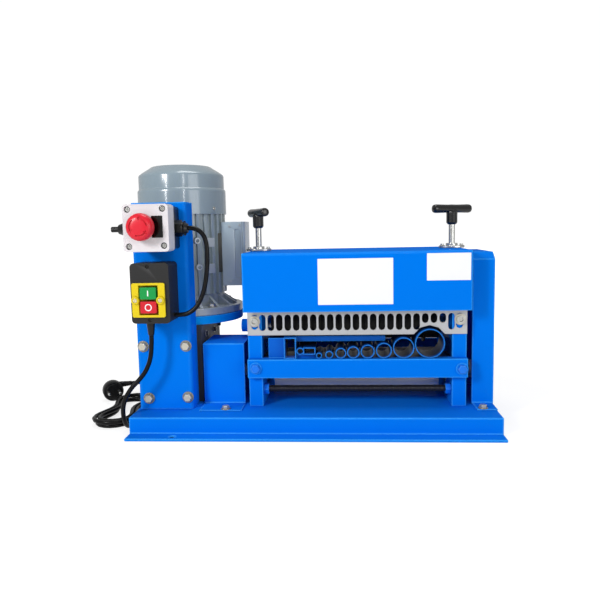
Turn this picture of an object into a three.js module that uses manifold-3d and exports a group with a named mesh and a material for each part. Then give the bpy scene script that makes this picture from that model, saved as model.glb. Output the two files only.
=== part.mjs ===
// Bench wire stripping machine: a pressed base tray carries two side plates with a driven feed
// roller below and a free blade shaft above, a worm gearbox with an upright motor, and a column
// with the emergency stop and the switch box. Lengths in millimetres, X to the right along the
// rollers, Y away from the operator, Z up.
import * as THREE from 'three';
import { mergeVertices } from 'three/addons/utils/BufferGeometryUtils.js';
import Module from 'manifold-3d';

const wasm = await Module();
wasm.setup();

// Shared clearances and facets
const seatGap = 0.3;
const overrun = 5;
const fineSides = 34;
const roundSides = 24;
const smallSides = 16;
const hexSides = 6;

// Base tray
const baseLength = 560;
const baseDepth = 330;
const baseHeight = 28.5;
const baseSheet = 4;
const baseFlange = 25;

// Side plates that carry the rollers
const plateThickness = 22;
const plateDepth = 156;
const plateTop = 270.6;
const plateSpacing = 318;
const standCentreX = 67;

// Drive line and blade line
const lineY = -2;
const lineZ = 71;
const bladeZ = 148;
const rollerRadius = 37;
const rollerLength = 268;
const rollerShaftRadius = 15;
const rollerShaftRight = 25;
const rollerShaftLeft = 30;
const rollerShaftStep = 3;
const bearingRadius = 26;
const bearingWidth = 16;
const bladeShaftRadius = 12;
const bladeShaftOverhang = 12;
const bladeRadius = 30;
const bladeThickness = 3;
const spacerRadius = 24;
const bladeStackEnd = 9;

// Sliding bearing blocks and their travel
const blockHeight = 48;
const blockDepth = 47.4;
const blockRise = 18;
const blockDrop = 8;
const capFlangeRadius = 15.5;
const capFlangeWidth = 9;
const capHubRadius = 11;
const capHubWidth = 12;
const capEndWall = 1.5;

// Adjusting screws with their handles and bushes
const screwRadius = 5;
const screwSeatDepth = 9;
const handleHubRadius = 9.5;
const handleHubHeight = 22;
const handleBarRadius = 7;
const handleBarLength = 71;
const handleLift = 38.1;
const screwInHandle = 12;
const leftHandleAngle = -62;
const rightHandleAngle = 26;
const bushNeckRadius = 8;
const bushNeckDepth = 14;
const bushFlangeLength = 42;
const bushFlangeWidth = 25;
const bushFlangeHeight = 3.6;
const bushHubRadius = 9.5;
const bushHubHeight = 4;

// Tie rod
const tieRodRadius = 5.5;
const tieRodY = -64;
const tieRodZ = 54;
const tieNutRadius = 9.4;
const tieNutWidth = 8;

// Front beam, window plate and feed guide
const beamThickness = 13;
const beamBottom = 77;
const beamTop = 106.7;
const rearBeamThickness = 10;
const rearBeamBottom = 75.1;
const rearBeamTop = 108;
const windowThickness = 2.7;
const windowBottom = 143.3;
const windowTop = 204;
const slotPitch = 13.29;
const slotCount = 23;
const slotWidth = 10.2;
const slotTop = 176.2;
const slotHeight = 26;
const shortSlotHeight = 15.5;
const shortSlotCount = 3;
const slotsAfterShort = 1;
const windowScrewSlotWidth = 11;
const windowScrewSlotHeight = 24;
const windowScrewSlotInset = 11.5;
const archClearance = 4.5;
const shelfThickness = 5.6;
const shelfBack = -28;
const guideFront = -88;
const guideBack = -34.5;
const guideLift = 0.3;
const guideBlockStart = 10;
const guideBlockWidth = 25.3;
const guideBlockHeight = 31;
const guideBlockFront = -76;
const tallTubeWidth = 19;
const tallTubeHeight = 33.5;
const tubeWall = 1.6;
const flatTubeLift = 6.7;
const ovalTubeWidth = 12.2;
const ovalTubeHeight = 11.4;
const flatTubeWidth = 19.2;
const flatTubeHeight = 11.5;
const tubeGap = 0.5;
const roundTubeDiameters = [9.8, 12.4, 17, 19.4, 21.8, 24.6, 32.8, 45.8];
const roundTubeGaps = [0.6, 4.8, 3.2, 1.2, 1.6, 1.8, 1.6, 0.6];
const barThickness = 6;
const barDepth = 9;
const barFront = -72;
const barTubeIndex = 5;

// Top cover
const coverSheet = 2;
const coverFront = -100;
const coverBack = 84;
const coverFrontBottom = 182.2;
const coverBackBottom = 150;
const coverBend = 4;
const coverOverhang = 3.5;

// End cover
const endCoverGap = 10.5;
const endCoverWidth = 34;
const endCoverDepth = 132;
const endCoverTop = 267.8;
const endCoverChamferDepth = 16;
const endCoverChamferDrop = 10.5;
const endCoverSheet = 2;
const endFootDepth = 37;
const endFootInset = 1.5;

// Coupling and its cover
const couplingRadius = 17.5;
const couplingHubLength = 17;
const couplingJawLength = 9;
const couplingJawCount = 3;
const couplingJawShare = 0.42;
const couplingJawInnerShare = 0.45;
const couplingCoverLeft = -179;
const couplingCoverWidth = 67;
const couplingCoverFront = -64;
const couplingCoverBack = 22;
const couplingCoverTop = 127.8;
const couplingCoverSheet = 1.5;
const couplingFootDepth = 42;

// Gearbox, motor axis and worm drive
const wormCentreDistance = 50;
const motorX = -231.5;
const housingWidth = 97;
const housingFront = -50;
const housingBack = 98;
const housingTop = 154.7;
const housingPadWidth = 70;
const housingPadBottom = 34;
const housingPadTop = 146;
const wheelRadius = 36;
const wheelRootRadius = 31;
const wheelTeeth = 20;
const wheelWidth = 26;
const wheelCavityClearance = 4;
const outputShaftRadius = 10;
const outputSeatWall = 9;
const wormRadius = 13.6;
const wormLength = 54;
const wormShaftRadius = 9.5;
const wormBoreClearance = 3;
const wormSleeveLength = 36;
const wormFootLength = 12;
const wormWall = 8;

// Motor flanges, frame, rotor, fan and cowl
const flangeRadius = 100;
const flangeFlat = 68;
const adapterThickness = 14;
const adapterBore = 45;
const motorFlangeRim = 12;
const motorFlangeHeight = 32;
const motorFlangeNeck = 66;
const motorBaseGap = 0.3;
const frameFinRadius = 73;
const frameFinDepth = 6;
const frameFinCount = 32;
const frameFinShare = 0.36;
const frameTop = 352;
const frameBore = 40;
const frameEndWall = 12;
const frameSpigotHeight = 10;
const rotorRadius = 38.5;
const rotorCoreShare = 0.725;
const rotorShaftRadius = 8.5;
const rotorShaftRise = 20;
const wormSocketDepth = 26;
const fanRadius = 60;
const fanHubRadius = 14;
const fanBladeCount = 6;
const fanBladeThickness = 3;
const fanBladeHeight = 12;
const fanDiscThickness = 3;
const fanLift = 3;
const cowlStepInset = 2.5;
const cowlCrownInset = 23;
const cowlLap = 15.5;
const cowlStepRise = 28;
const cowlShoulderRise = 52;
const cowlTopRise = 67;
const cowlWall = 2;
const cowlVentCount = 12;
const cowlVentInner = 18;
const cowlVentOuter = 44;
const cowlVentWidth = 5;
const terminalBoxWidth = 38;
const terminalBoxDepth = 58;
const terminalBoxHeight = 110;
const terminalBoxBottom = 213;
const terminalBoxFront = 29;
const terminalBoxCorner = 5;
const terminalBoxReach = 16;
const terminalBoxWall = 3;

// Column that carries the switchgear
const columnLeft = -277;
const columnWidth = 87;
const columnFront = -95;
const columnDepth = 39;
const columnTop = 353;
const columnSheet = 3;
const columnBend = 6;

// Emergency stop station
const stationWidth = 66.5;
const stationHeight = 68;
const stationBottom = 280;
const stationLidDepth = 30;
const stationBaseDepth = 36.7;
const stationLeft = -265.8;
const stationCorner = 5;
const stationWall = 3;
const stationBaseInset = 2;
const capRadius = 19.6;
const capHeight = 15;
const capDomeDepth = 9;
const capDomeSteps = 4;
const capUndersideGap = 10;
const capStemRadius = 8;
const plungerRadius = 11;
const plungerCollarHeight = 5;
const plungerLength = 22;
const stationButtonShareX = 0.45;
const stationButtonShareZ = 0.52;
const glandHexRadius = 12.6;
const glandHexLength = 9;
const glandDomeRadius = 10.2;
const glandDomeLength = 9;
const glandY = -114;
const glandZ = 313;
const glandBoreRadius = 4.2;
const blankPinRadius = 4.2;
const blankPinLength = 11.5;
const blankHexLength = 15;
const blankDomeLength = 10;

// Switch box
const switchWidth = 58;
const switchHeight = 89.5;
const switchDepth = 50;
const switchLeft = -265.2;
const switchBottom = 173.5;
const switchCorner = 6;
const switchWall = 3;
const bezelWidth = 49.6;
const bezelHeight = 51;
const bezelLeftInset = 2.4;
const bezelBottomInset = 9.5;
const bezelProud = 3;
const bezelOpeningWidth = 29;
const bezelOpeningHeight = 44;
const buttonWidth = 24;
const buttonHeight = 17.6;
const buttonProud = 2;
const buttonDepth = 12;
const buttonStemRadius = 4;
const buttonStemLength = 8;
const buttonGap = 3.2;
const bezelDepth = 16;
const bezelFloor = 2.4;
const mainsGlandLength = 20;
const mainsGlandRadius = 6.6;
const mainsGlandTipRadius = 4.5;
const mainsGlandX = -243;
const mainsGlandY = -126;

// Leads
const linkDiameter = 7;
const linkEntryZ = 183;
const linkRoute = [
  [-173, -114, 312],
  [-165.5, -114, 308],
  [-159.6, -114.2, 300.8],
  [-156.3, -114.5, 290.5],
  [-155.3, -115, 275],
  [-155.8, -115.4, 257],
  [-158, -116, 238],
  [-162, -117, 219],
  [-168.5, -118, 203],
  [-177.5, -119, 191],
  [-188, -119.8, 184.6],
  [-197, -120, 183.1],
];
const mainsDiameter = 7;
const cordSides = 8;
const leadStepsPerPoint = 2;
const mainsRoute = [
  [-243.6, -126, 138],
  [-245, -126, 124],
  [-248.6, -126, 110],
  [-255.4, -126.4, 96],
  [-265.4, -127.4, 83.6],
  [-276.8, -129, 71.6],
  [-286, -130.6, 57],
  [-290.6, -131.4, 41],
  [-291.6, -128.6, 26],
  [-291.9, -120.4, 13.2],
  [-292, -109.6, 6],
];
const hankRunLength = 105;
const hankLoops = 3;
const hankInnerRadius = 21;
const hankPitch = 8.3;
const hankLayerRise = 7.6;
const hankWaist = 11;
const hankStepsPerLoop = 24;
const hankSides = 6;
const hankCentreX = -325.4;
const hankNearY = -78;
const tailRoute = [
  [-293.4, 57, 13.4],
  [-300.5, 73, 17.6],
  [-313, 84.2, 22.4],
  [-328.5, 86.8, 26.4],
];
const plugRadius = 18.2;
const plugThickness = 24;
const plugX = -380;
const plugY = 62;
const plugTurn = 27;
const plugBoot = 16;
const plugBootRadius = 5.4;
const plugBootTipRadius = 4.2;
const plugBootLift = 9.4;
const plugPinRadius = 2.4;
const plugPinLength = 19;
const plugPinSpacing = 19;
const plugPinSink = 1;

// Places worked out from the sizes above
const baseTop = baseHeight;
const plateFront = -plateDepth / 2;
const leftPlateX = standCentreX - plateSpacing / 2;
const rightPlateX = standCentreX + plateSpacing / 2;
const leftPlateInner = leftPlateX + plateThickness / 2;
const leftPlateOuter = leftPlateX - plateThickness / 2;
const rightPlateInner = rightPlateX - plateThickness / 2;
const rightPlateOuter = rightPlateX + plateThickness / 2;
const plateBottom = baseTop + seatGap;
const windowFrontY = plateFront - seatGap - windowThickness;
const coverUnderside = plateTop + seatGap;
const coverTopZ = coverUnderside + coverSheet;
const motorY = lineY + wormCentreDistance;
const housingBottom = baseTop + seatGap;
const housingRight = motorX + housingWidth / 2;
const adapterBottom = housingTop + seatGap;
const adapterTop = adapterBottom + adapterThickness;
const motorFlangeBottom = adapterTop + motorBaseGap;
const motorFlangeTop = motorFlangeBottom + motorFlangeHeight;
const frameBottom = motorFlangeTop + seatGap;
const frameRadius = frameFinRadius - frameFinDepth;
const cowlRadius = frameFinRadius + 2 * seatGap + cowlWall;
const cowlUpperRadius = cowlRadius - cowlStepInset;
const cowlCrownRadius = cowlRadius - cowlCrownInset;
const cowlBottom = frameTop - cowlLap;
const cowlStep = frameTop + cowlStepRise;
const cowlShoulder = frameTop + cowlShoulderRise;
const cowlTop = frameTop + cowlTopRise;
const wormTip = lineZ - wormLength / 2 - wormFootLength;
const wormTop = lineZ + wormLength / 2 + wormSleeveLength;
const columnBack = columnFront + columnDepth;
const columnBottom = baseTop + seatGap;
const stationBaseFront = columnFront - seatGap - stationBaseDepth;
const stationFront = stationBaseFront - seatGap - stationLidDepth;
const capCentreX = stationLeft + stationWidth * stationButtonShareX;
const capCentreZ = stationBottom + stationHeight * stationButtonShareZ;
const switchFront = columnFront - seatGap - switchDepth;
const bezelLeft = switchLeft + bezelLeftInset;
const bezelBottom = switchBottom + bezelBottomInset;
const bezelFront = switchFront - bezelProud;
const buttonCentreX = bezelLeft + bezelWidth / 2;
const bezelCentreZ = bezelBottom + bezelHeight / 2;
const screwTipZ = bladeZ + blockHeight / 2 - screwSeatDepth;
const handleBottom = coverTopZ + handleLift;
const hankRunY = [hankNearY, hankNearY + hankRunLength];

// Solid helpers

/** Turns a closed geometry into a solid with its faces pointing out. */
function solid(geometry) {
  const bare = geometry.clone();
  bare.deleteAttribute('normal');
  bare.deleteAttribute('uv');
  const merged = mergeVertices(bare);
  const vertProperties = Float32Array.from(merged.attributes.position.array);
  const triVerts = Uint32Array.from(merged.index.array);
  const corner = (index) => new THREE.Vector3().fromArray(vertProperties, 3 * index);
  let volume = 0;
  for (let t = 0; t < triVerts.length; t += 3) {
    const [a, b, c] = [corner(triVerts[t]), corner(triVerts[t + 1]), corner(triVerts[t + 2])];
    volume += a.dot(b.cross(c));
  }
  if (volume < 0) {
    for (let t = 0; t < triVerts.length; t += 3) {
      [triVerts[t + 1], triVerts[t + 2]] = [triVerts[t + 2], triVerts[t + 1]];
    }
  }
  const mesh = new wasm.Mesh({ numProp: 3, vertProperties, triVerts });
  mesh.merge();
  return new wasm.Manifold(mesh);
}

/** Gives a solid back as a geometry with flat faces. */
function surface(body) {
  const mesh = body.getMesh();
  const geometry = new THREE.BufferGeometry();
  geometry.setAttribute('position', new THREE.BufferAttribute(Float32Array.from(mesh.vertProperties), 3));
  geometry.setIndex(Array.from(mesh.triVerts));
  geometry.computeVertexNormals();
  return geometry;
}

/** Joins solids into one. */
function joined(...bodies) {
  return bodies.reduce((whole, body) => whole.add(body));
}

/** Takes solids out of the first one. */
function cut(body, ...tools) {
  return tools.reduce((rest, tool) => rest.subtract(tool), body);
}

/** A block between two corners. */
function block(x0, x1, y0, y1, z0, z1) {
  const geometry = new THREE.BoxGeometry(x1 - x0, y1 - y0, z1 - z0);
  geometry.translate((x0 + x1) / 2, (y0 + y1) / 2, (z0 + z1) / 2);
  return solid(geometry);
}

/** Turns geometry made along +Y so that it runs along the named axis. */
function alongAxis(geometry, axis) {
  if (axis === 'x') {
    geometry.rotateZ(-Math.PI / 2);
  }
  if (axis === 'z') {
    geometry.rotateX(Math.PI / 2);
  }
  return geometry;
}

/** A body of revolution: profile points are [radius, height along the axis]. */
function turned(profile, axis, x, y, z, sides = roundSides) {
  const points = profile.map(([radius, height]) => new THREE.Vector2(radius, height));
  const geometry = alongAxis(new THREE.LatheGeometry(points, sides), axis);
  geometry.translate(x, y, z);
  return solid(geometry);
}

/** A plain round bar from one height to another along the axis. */
function rod(radius, from, to, axis, x, y, z, sides = roundSides) {
  return turned([[0, from], [radius, from], [radius, to], [0, to]], axis, x, y, z, sides);
}

/** A round sleeve from one height to another along the axis. */
function ring(inner, outer, from, to, axis, x, y, z, sides = roundSides) {
  const profile = [[inner, from], [outer, from], [outer, to], [inner, to], [inner, from]];
  return turned(profile, axis, x, y, z, sides);
}

/** Pushes a flat outline through a plane: 'xy' up, 'yz' towards +X, 'xz' towards -Y. */
function pushed(shape, from, to, plane, curveSegments = smallSides / 2) {
  const options = { depth: to - from, bevelEnabled: false, curveSegments };
  const geometry = new THREE.ExtrudeGeometry(shape, options);
  if (plane === 'xy') {
    geometry.translate(0, 0, from);
  }
  if (plane === 'yz') {
    const turn = new THREE.Matrix4().makeBasis(
      new THREE.Vector3(0, 1, 0),
      new THREE.Vector3(0, 0, 1),
      new THREE.Vector3(1, 0, 0),
    );
    geometry.applyMatrix4(turn);
    geometry.translate(from, 0, 0);
  }
  if (plane === 'xz') {
    geometry.rotateX(Math.PI / 2);
    geometry.translate(0, to, 0);
  }
  return solid(geometry);
}

/** An outline through straight corners. */
function outline(points) {
  return new THREE.Shape(points.map(([u, v]) => new THREE.Vector2(u, v)));
}

/** A rectangle with round corners, lowest corner first. */
function roundedBox(u0, u1, v0, v1, corner) {
  const shape = new THREE.Shape();
  shape.moveTo(u0 + corner, v0);
  shape.lineTo(u1 - corner, v0);
  shape.absarc(u1 - corner, v0 + corner, corner, -Math.PI / 2, 0, false);
  shape.absarc(u1 - corner, v1 - corner, corner, 0, Math.PI / 2, false);
  shape.absarc(u0 + corner, v1 - corner, corner, Math.PI / 2, Math.PI, false);
  shape.absarc(u0 + corner, v0 + corner, corner, Math.PI, 3 * Math.PI / 2, false);
  return shape;
}

/** A circle as an outline or a hole. */
function circle(u, v, radius, Kind = THREE.Shape) {
  const path = new Kind();
  path.absarc(u, v, radius, 0, 2 * Math.PI, false);
  return path;
}

/** An upright slot with round ends. */
function uprightSlot(u, low, high, width) {
  const radius = width / 2;
  const path = new THREE.Path();
  path.absarc(u, high - radius, radius, 0, Math.PI, false);
  path.absarc(u, low + radius, radius, Math.PI, 2 * Math.PI, false);
  path.closePath();
  return path;
}

/** The painted or plated finish of a piece. */
function finish(color, roughness, metalness) {
  return new THREE.MeshStandardMaterial({ color, roughness, metalness });
}

const machine = new THREE.Group();

/** Adds a named sub-part at a place in the machine. */
function addPart(name, body, material, x = 0, y = 0, z = 0) {
  const mesh = new THREE.Mesh(surface(body), material);
  mesh.name = name;
  mesh.position.set(x, y, z);
  machine.add(mesh);
  return mesh;
}

const bluePaint = () => finish(0x0075f8, 0.32, 0.1);
const greyPaint = () => finish(0x808f9b, 0.35, 0.1);
const castGrey = () => finish(0x4a4f55, 0.6, 0.4);
const satinSteel = () => finish(0xb9b7b4, 0.4, 0.9);
const brightSteel = () => finish(0xc9ccd0, 0.25, 1);
const darkSteel = () => finish(0x4b4b4e, 0.45, 0.8);
const blackPlastic = () => finish(0x141414, 0.45, 0);
const blackRubber = () => finish(0x1b1b1b, 0.7, 0);
const whitePlastic = () => finish(0xdcdcde, 0.45, 0);

// Base

/** Hat-shaped tray: a raised deck on two webs with a flange along the front and the back. */
function baseTray() {
  const half = baseDepth / 2;
  const deck = half - baseFlange;
  const profile = outline([
    [-half, 0], [-deck + baseSheet, 0],
    [-deck + baseSheet, baseTop - baseSheet], [deck - baseSheet, baseTop - baseSheet],
    [deck - baseSheet, 0], [half, 0],
    [half, baseSheet], [deck, baseSheet],
    [deck, baseTop], [-deck, baseTop],
    [-deck, baseSheet], [-half, baseSheet],
  ]);
  return pushed(profile, -baseLength / 2, baseLength / 2, 'yz');
}

// Stand

/** Side plate with the roller bearing seat, the window of the sliding block and the screw hole. */
function sidePlate(centreX) {
  const left = centreX - plateThickness / 2;
  const right = centreX + plateThickness / 2;
  const shape = outline([
    [plateFront, plateBottom], [-plateFront, plateBottom], [-plateFront, plateTop], [plateFront, plateTop],
  ]);
  shape.holes.push(circle(lineY, lineZ, bearingRadius + seatGap, THREE.Path));
  shape.holes.push(circle(tieRodY, tieRodZ, tieRodRadius + seatGap, THREE.Path));
  const windowHalf = blockDepth / 2 + seatGap;
  const windowLow = bladeZ - blockHeight / 2 - blockDrop - seatGap;
  const windowHigh = bladeZ + blockHeight / 2 + blockRise + seatGap;
  const opening = new THREE.Path([
    new THREE.Vector2(lineY - windowHalf, windowLow),
    new THREE.Vector2(lineY + windowHalf, windowLow),
    new THREE.Vector2(lineY + windowHalf, windowHigh),
    new THREE.Vector2(lineY - windowHalf, windowHigh),
  ]);
  shape.holes.push(opening);
  const plate = pushed(shape, left, right, 'yz', roundSides / 2);
  const screwHole = rod(screwRadius + seatGap, windowHigh - overrun, plateTop + overrun,
    'z', centreX, lineY, 0);
  const neckHole = rod(bushNeckRadius + seatGap, plateTop + seatGap - bushNeckDepth, plateTop + overrun,
    'z', centreX, lineY, 0);
  return cut(plate, screwHole, neckHole);
}

/** Threaded rod that ties the side plates, with a nut against each plate. */
function tieRod() {
  const rodFrom = leftPlateOuter;
  const rodTo = rightPlateOuter;
  const bar = rod(tieRodRadius, rodFrom, rodTo, 'x', 0, tieRodY, tieRodZ, smallSides);
  const nut = (from) => rod(tieNutRadius, from, from + tieNutWidth, 'x', 0, tieRodY, tieRodZ, hexSides);
  return joined(bar, nut(leftPlateInner + seatGap), nut(rightPlateInner - seatGap - tieNutWidth));
}

/** Flat bar across the front of the side plates. */
function frontBeam() {
  const front = plateFront - seatGap - beamThickness;
  return block(leftPlateOuter, rightPlateOuter, front, plateFront - seatGap, beamBottom, beamTop);
}

/** Flat bar across the back of the side plates, below the way out. */
function rearBeam() {
  const front = -plateFront + seatGap;
  const back = front + rearBeamThickness;
  return block(leftPlateOuter, rightPlateOuter, front, back, rearBeamBottom, rearBeamTop);
}

// Feed guide

const guideStart = leftPlateInner + guideBlockStart;
const tallTubeStart = guideStart + guideBlockWidth;
const ovalStart = tallTubeStart + tallTubeWidth + tubeGap;
const flatStart = ovalStart + ovalTubeWidth - tubeWall;
const roundStart = flatStart + flatTubeWidth;
const guideFloor = beamTop + guideLift;

/** Centre of each round feed tube, laid side by side from the flat tube. */
const roundTubes = [];
for (let index = 0, edge = roundStart; index < roundTubeDiameters.length; index += 1) {
  const diameter = roundTubeDiameters[index];
  const centreX = edge + roundTubeGaps[index] + diameter / 2;
  roundTubes.push({ centreX, diameter, centreZ: guideFloor + diameter / 2 });
  edge = centreX + diameter / 2;
}
const largestTube = roundTubes[roundTubes.length - 1];

/** Shelf between the side plates with the riser, the end block, the tall channel and the stay bar. */
function feedGuideFrame() {
  const shelf = block(leftPlateInner + seatGap, rightPlateInner - seatGap,
    plateFront, shelfBack, beamTop - shelfThickness, beamTop);
  const endBlock = block(guideStart, tallTubeStart + tubeWall, guideBlockFront, guideBack,
    beamTop - shelfThickness / 2, guideFloor + guideBlockHeight);
  const tall = block(tallTubeStart, tallTubeStart + tallTubeWidth, guideFront, guideBack,
    guideFloor, guideFloor + tallTubeHeight);
  const tallBore = block(tallTubeStart + tubeWall, tallTubeStart + tallTubeWidth - tubeWall,
    guideFront - overrun, guideBack + overrun, guideFloor + tubeWall, guideFloor + tallTubeHeight - tubeWall);
  const riser = block(ovalStart, flatStart + flatTubeWidth, plateFront, guideBack,
    beamTop - shelfThickness / 2, beamTop + flatTubeLift - seatGap);
  const barTube = roundTubes[barTubeIndex];
  const barBottom = barTube.centreZ + barTube.diameter / 2 + seatGap;
  const barTop = guideFloor + tallTubeHeight;
  const bar = block(tallTubeStart + tallTubeWidth - tubeWall, barTube.centreX + barThickness / 2,
    barFront, barFront + barDepth, barBottom, barTop);
  return cut(joined(shelf, endBlock, tall, riser, bar), tallBore);
}

/** Oval channel and flat channel welded side by side. */
function ovalAndFlatTubes() {
  const low = beamTop + flatTubeLift;
  const ovalRadius = ovalTubeHeight / 2 - tubeWall;
  const outer = new THREE.Shape();
  outer.absellipse(ovalStart + ovalTubeWidth / 2, low + ovalTubeHeight / 2, ovalTubeWidth / 2,
    ovalTubeHeight / 2, 0, 2 * Math.PI, false, 0);
  const bore = new THREE.Shape();
  bore.absellipse(ovalStart + ovalTubeWidth / 2, low + ovalTubeHeight / 2, ovalTubeWidth / 2 - tubeWall,
    ovalRadius, 0, 2 * Math.PI, false, 0);
  const oval = pushed(outer, guideFront, guideBack, 'xz', smallSides);
  const flat = block(flatStart, flatStart + flatTubeWidth, guideFront, guideBack, low, low + flatTubeHeight);
  const ovalBore = pushed(bore, guideFront - overrun, guideBack + overrun, 'xz', smallSides);
  const flatBore = block(flatStart + tubeWall, flatStart + flatTubeWidth - tubeWall,
    guideFront - overrun, guideBack + overrun, low + tubeWall, low + flatTubeHeight - tubeWall);
  return cut(joined(oval, flat), ovalBore, flatBore);
}

/** Round feed tube standing on the shelf. */
function roundTube({ centreX, diameter, centreZ }) {
  const sides = diameter > 2 * rollerShaftRadius ? roundSides : smallSides;
  const inner = diameter / 2 - tubeWall;
  return ring(inner, diameter / 2, guideFront, guideBack, 'y', centreX, 0, centreZ, sides);
}

/** Slotted sight plate over the feed channels, with an arch over the largest one. */
function windowPlate() {
  const centre = standCentreX;
  const firstSlot = centre - slotPitch * (slotCount - 1) / 2;
  const arch = largestTube.diameter / 2 + archClearance;
  const rise = Math.asin((windowBottom - largestTube.centreZ) / arch);
  const shape = new THREE.Shape();
  shape.moveTo(leftPlateOuter, windowTop);
  shape.lineTo(leftPlateOuter, windowBottom);
  shape.lineTo(largestTube.centreX - arch * Math.cos(rise), windowBottom);
  shape.absarc(largestTube.centreX, largestTube.centreZ, arch, Math.PI - rise, rise, true);
  shape.lineTo(rightPlateOuter, windowBottom);
  shape.lineTo(rightPlateOuter, windowTop);
  const firstShort = slotCount - slotsAfterShort - shortSlotCount;
  for (let index = 0; index < slotCount; index += 1) {
    const isShort = index >= firstShort && index < firstShort + shortSlotCount;
    const height = isShort ? shortSlotHeight : slotHeight;
    shape.holes.push(uprightSlot(firstSlot + slotPitch * index, slotTop - height, slotTop, slotWidth));
  }
  for (const side of [leftPlateOuter + windowScrewSlotInset, rightPlateOuter - windowScrewSlotInset]) {
    const low = slotTop - windowScrewSlotHeight;
    shape.holes.push(uprightSlot(side, low, slotTop, windowScrewSlotWidth));
  }
  return pushed(shape, windowFrontY, plateFront - seatGap, 'xz', smallSides / 8);
}

// Rollers and blades

/** Driven feed roller with its shaft ends. */
function driveRoller() {
  const from = standCentreX - rollerLength / 2;
  const to = standCentreX + rollerLength / 2;
  const left = leftPlateOuter - rollerShaftLeft;
  const right = rightPlateOuter + rollerShaftRight;
  const step = leftPlateOuter - rollerShaftStep;
  const profile = [
    [0, left], [outputShaftRadius, left], [outputShaftRadius, step], [rollerShaftRadius, step],
    [rollerShaftRadius, from], [rollerRadius, from], [rollerRadius, to], [rollerShaftRadius, to],
    [rollerShaftRadius, right], [0, right],
  ];
  return turned(profile, 'x', 0, lineY, lineZ);
}

/** Ball bearing of the roller, seated in its side plate. */
function rollerBearing(centreX) {
  const half = bearingWidth / 2;
  const bore = rollerShaftRadius + seatGap;
  return ring(bore, bearingRadius, centreX - half, centreX + half, 'x', 0, lineY, lineZ);
}

/** Sliding bearing block of the blade shaft, in block coordinates about the shaft axis. */
function bearingBlock(capped) {
  const half = plateThickness / 2;
  const body = block(-half, half, -blockDepth / 2, blockDepth / 2, -blockHeight / 2, blockHeight / 2);
  const seat = rod(screwRadius + seatGap, blockHeight / 2 - screwSeatDepth - seatGap,
    blockHeight / 2 + overrun, 'z', 0, 0, 0, smallSides);
  const bore = bladeShaftRadius + seatGap;
  if (!capped) {
    return cut(body, seat, rod(bore, -half - overrun, half + overrun, 'x', 0, 0, 0));
  }
  const flangeEnd = -half - capFlangeWidth;
  const cap = turned([
    [0, flangeEnd - capHubWidth], [capHubRadius, flangeEnd - capHubWidth], [capHubRadius, flangeEnd],
    [capFlangeRadius, flangeEnd], [capFlangeRadius, 0], [0, 0],
  ], 'x', 0, 0, 0);
  return cut(joined(body, cap), seat, rod(bore, flangeEnd + capEndWall, half + overrun, 'x', 0, 0, 0));
}

/** Shaft that carries the blades between the two blocks, about its own axis. */
function bladeShaft() {
  const from = leftPlateOuter - capFlangeWidth + capEndWall + seatGap;
  return rod(bladeShaftRadius, from, rightPlateOuter + bladeShaftOverhang, 'x', 0, 0, 0);
}

/** Blade discs, one over each feed channel, with the spacers between them. */
function bladeStack() {
  const centres = [tallTubeStart + tallTubeWidth / 2, ovalStart + ovalTubeWidth / 2,
    flatStart + flatTubeWidth / 2, ...roundTubes.map((tube) => tube.centreX)];
  const bore = bladeShaftRadius + seatGap;
  const from = leftPlateInner + bladeStackEnd;
  const to = rightPlateInner - bladeStackEnd;
  const profile = [[bore, from], [spacerRadius, from]];
  for (const centre of centres) {
    profile.push([spacerRadius, centre - bladeThickness / 2], [bladeRadius, centre - bladeThickness / 2]);
    profile.push([bladeRadius, centre + bladeThickness / 2], [spacerRadius, centre + bladeThickness / 2]);
  }
  profile.push([spacerRadius, to], [bore, to], [bore, from]);
  return turned(profile, 'x', 0, 0, 0, smallSides);
}

// Adjusting screws

/** Adjusting screw from its seat in the block to the handle, upright on its own axis. */
function adjustingScrew() {
  return rod(screwRadius, screwTipZ, handleBottom + screwInHandle, 'z', 0, 0, 0, smallSides);
}

/** T handle: a hub over the screw and a round bar across it. */
function handle() {
  const hub = rod(handleHubRadius, 0, handleHubHeight, 'z', 0, 0, 0, roundSides);
  const half = handleBarLength / 2;
  const blunt = handleBarRadius / 2;
  const centreZ = handleHubHeight + handleBarRadius / 2;
  const bar = turned([
    [0, -half], [handleBarRadius - blunt, -half], [handleBarRadius, -half + blunt],
    [handleBarRadius, half - blunt], [handleBarRadius - blunt, half], [0, half],
  ], 'x', 0, 0, centreZ, smallSides);
  const socket = rod(screwRadius + seatGap, -overrun, screwInHandle + seatGap, 'z', 0, 0, 0, smallSides);
  return cut(joined(hub, bar), socket);
}

/** Threaded bush: a neck through the cover into the plate and an oval flange on the cover. */
function screwBush() {
  const flangeLow = coverTopZ + seatGap;
  const flangeHigh = flangeLow + bushFlangeHeight;
  const shape = new THREE.Shape();
  shape.absellipse(0, 0, bushFlangeLength / 2, bushFlangeWidth / 2, 0, 2 * Math.PI, false, 0);
  const flange = pushed(shape, flangeLow, flangeHigh, 'xy', smallSides / 2);
  const hub = rod(bushHubRadius, flangeLow, flangeHigh + bushHubHeight, 'z', 0, 0, 0, roundSides);
  const neckLow = plateTop + seatGap + seatGap - bushNeckDepth;
  const neck = rod(bushNeckRadius, neckLow, flangeHigh, 'z', 0, 0, 0, roundSides);
  const thread = rod(screwRadius + seatGap, neckLow - overrun, flangeHigh + bushHubHeight + overrun,
    'z', 0, 0, 0, smallSides);
  return cut(joined(flange, hub, neck), thread);
}

// Covers

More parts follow.
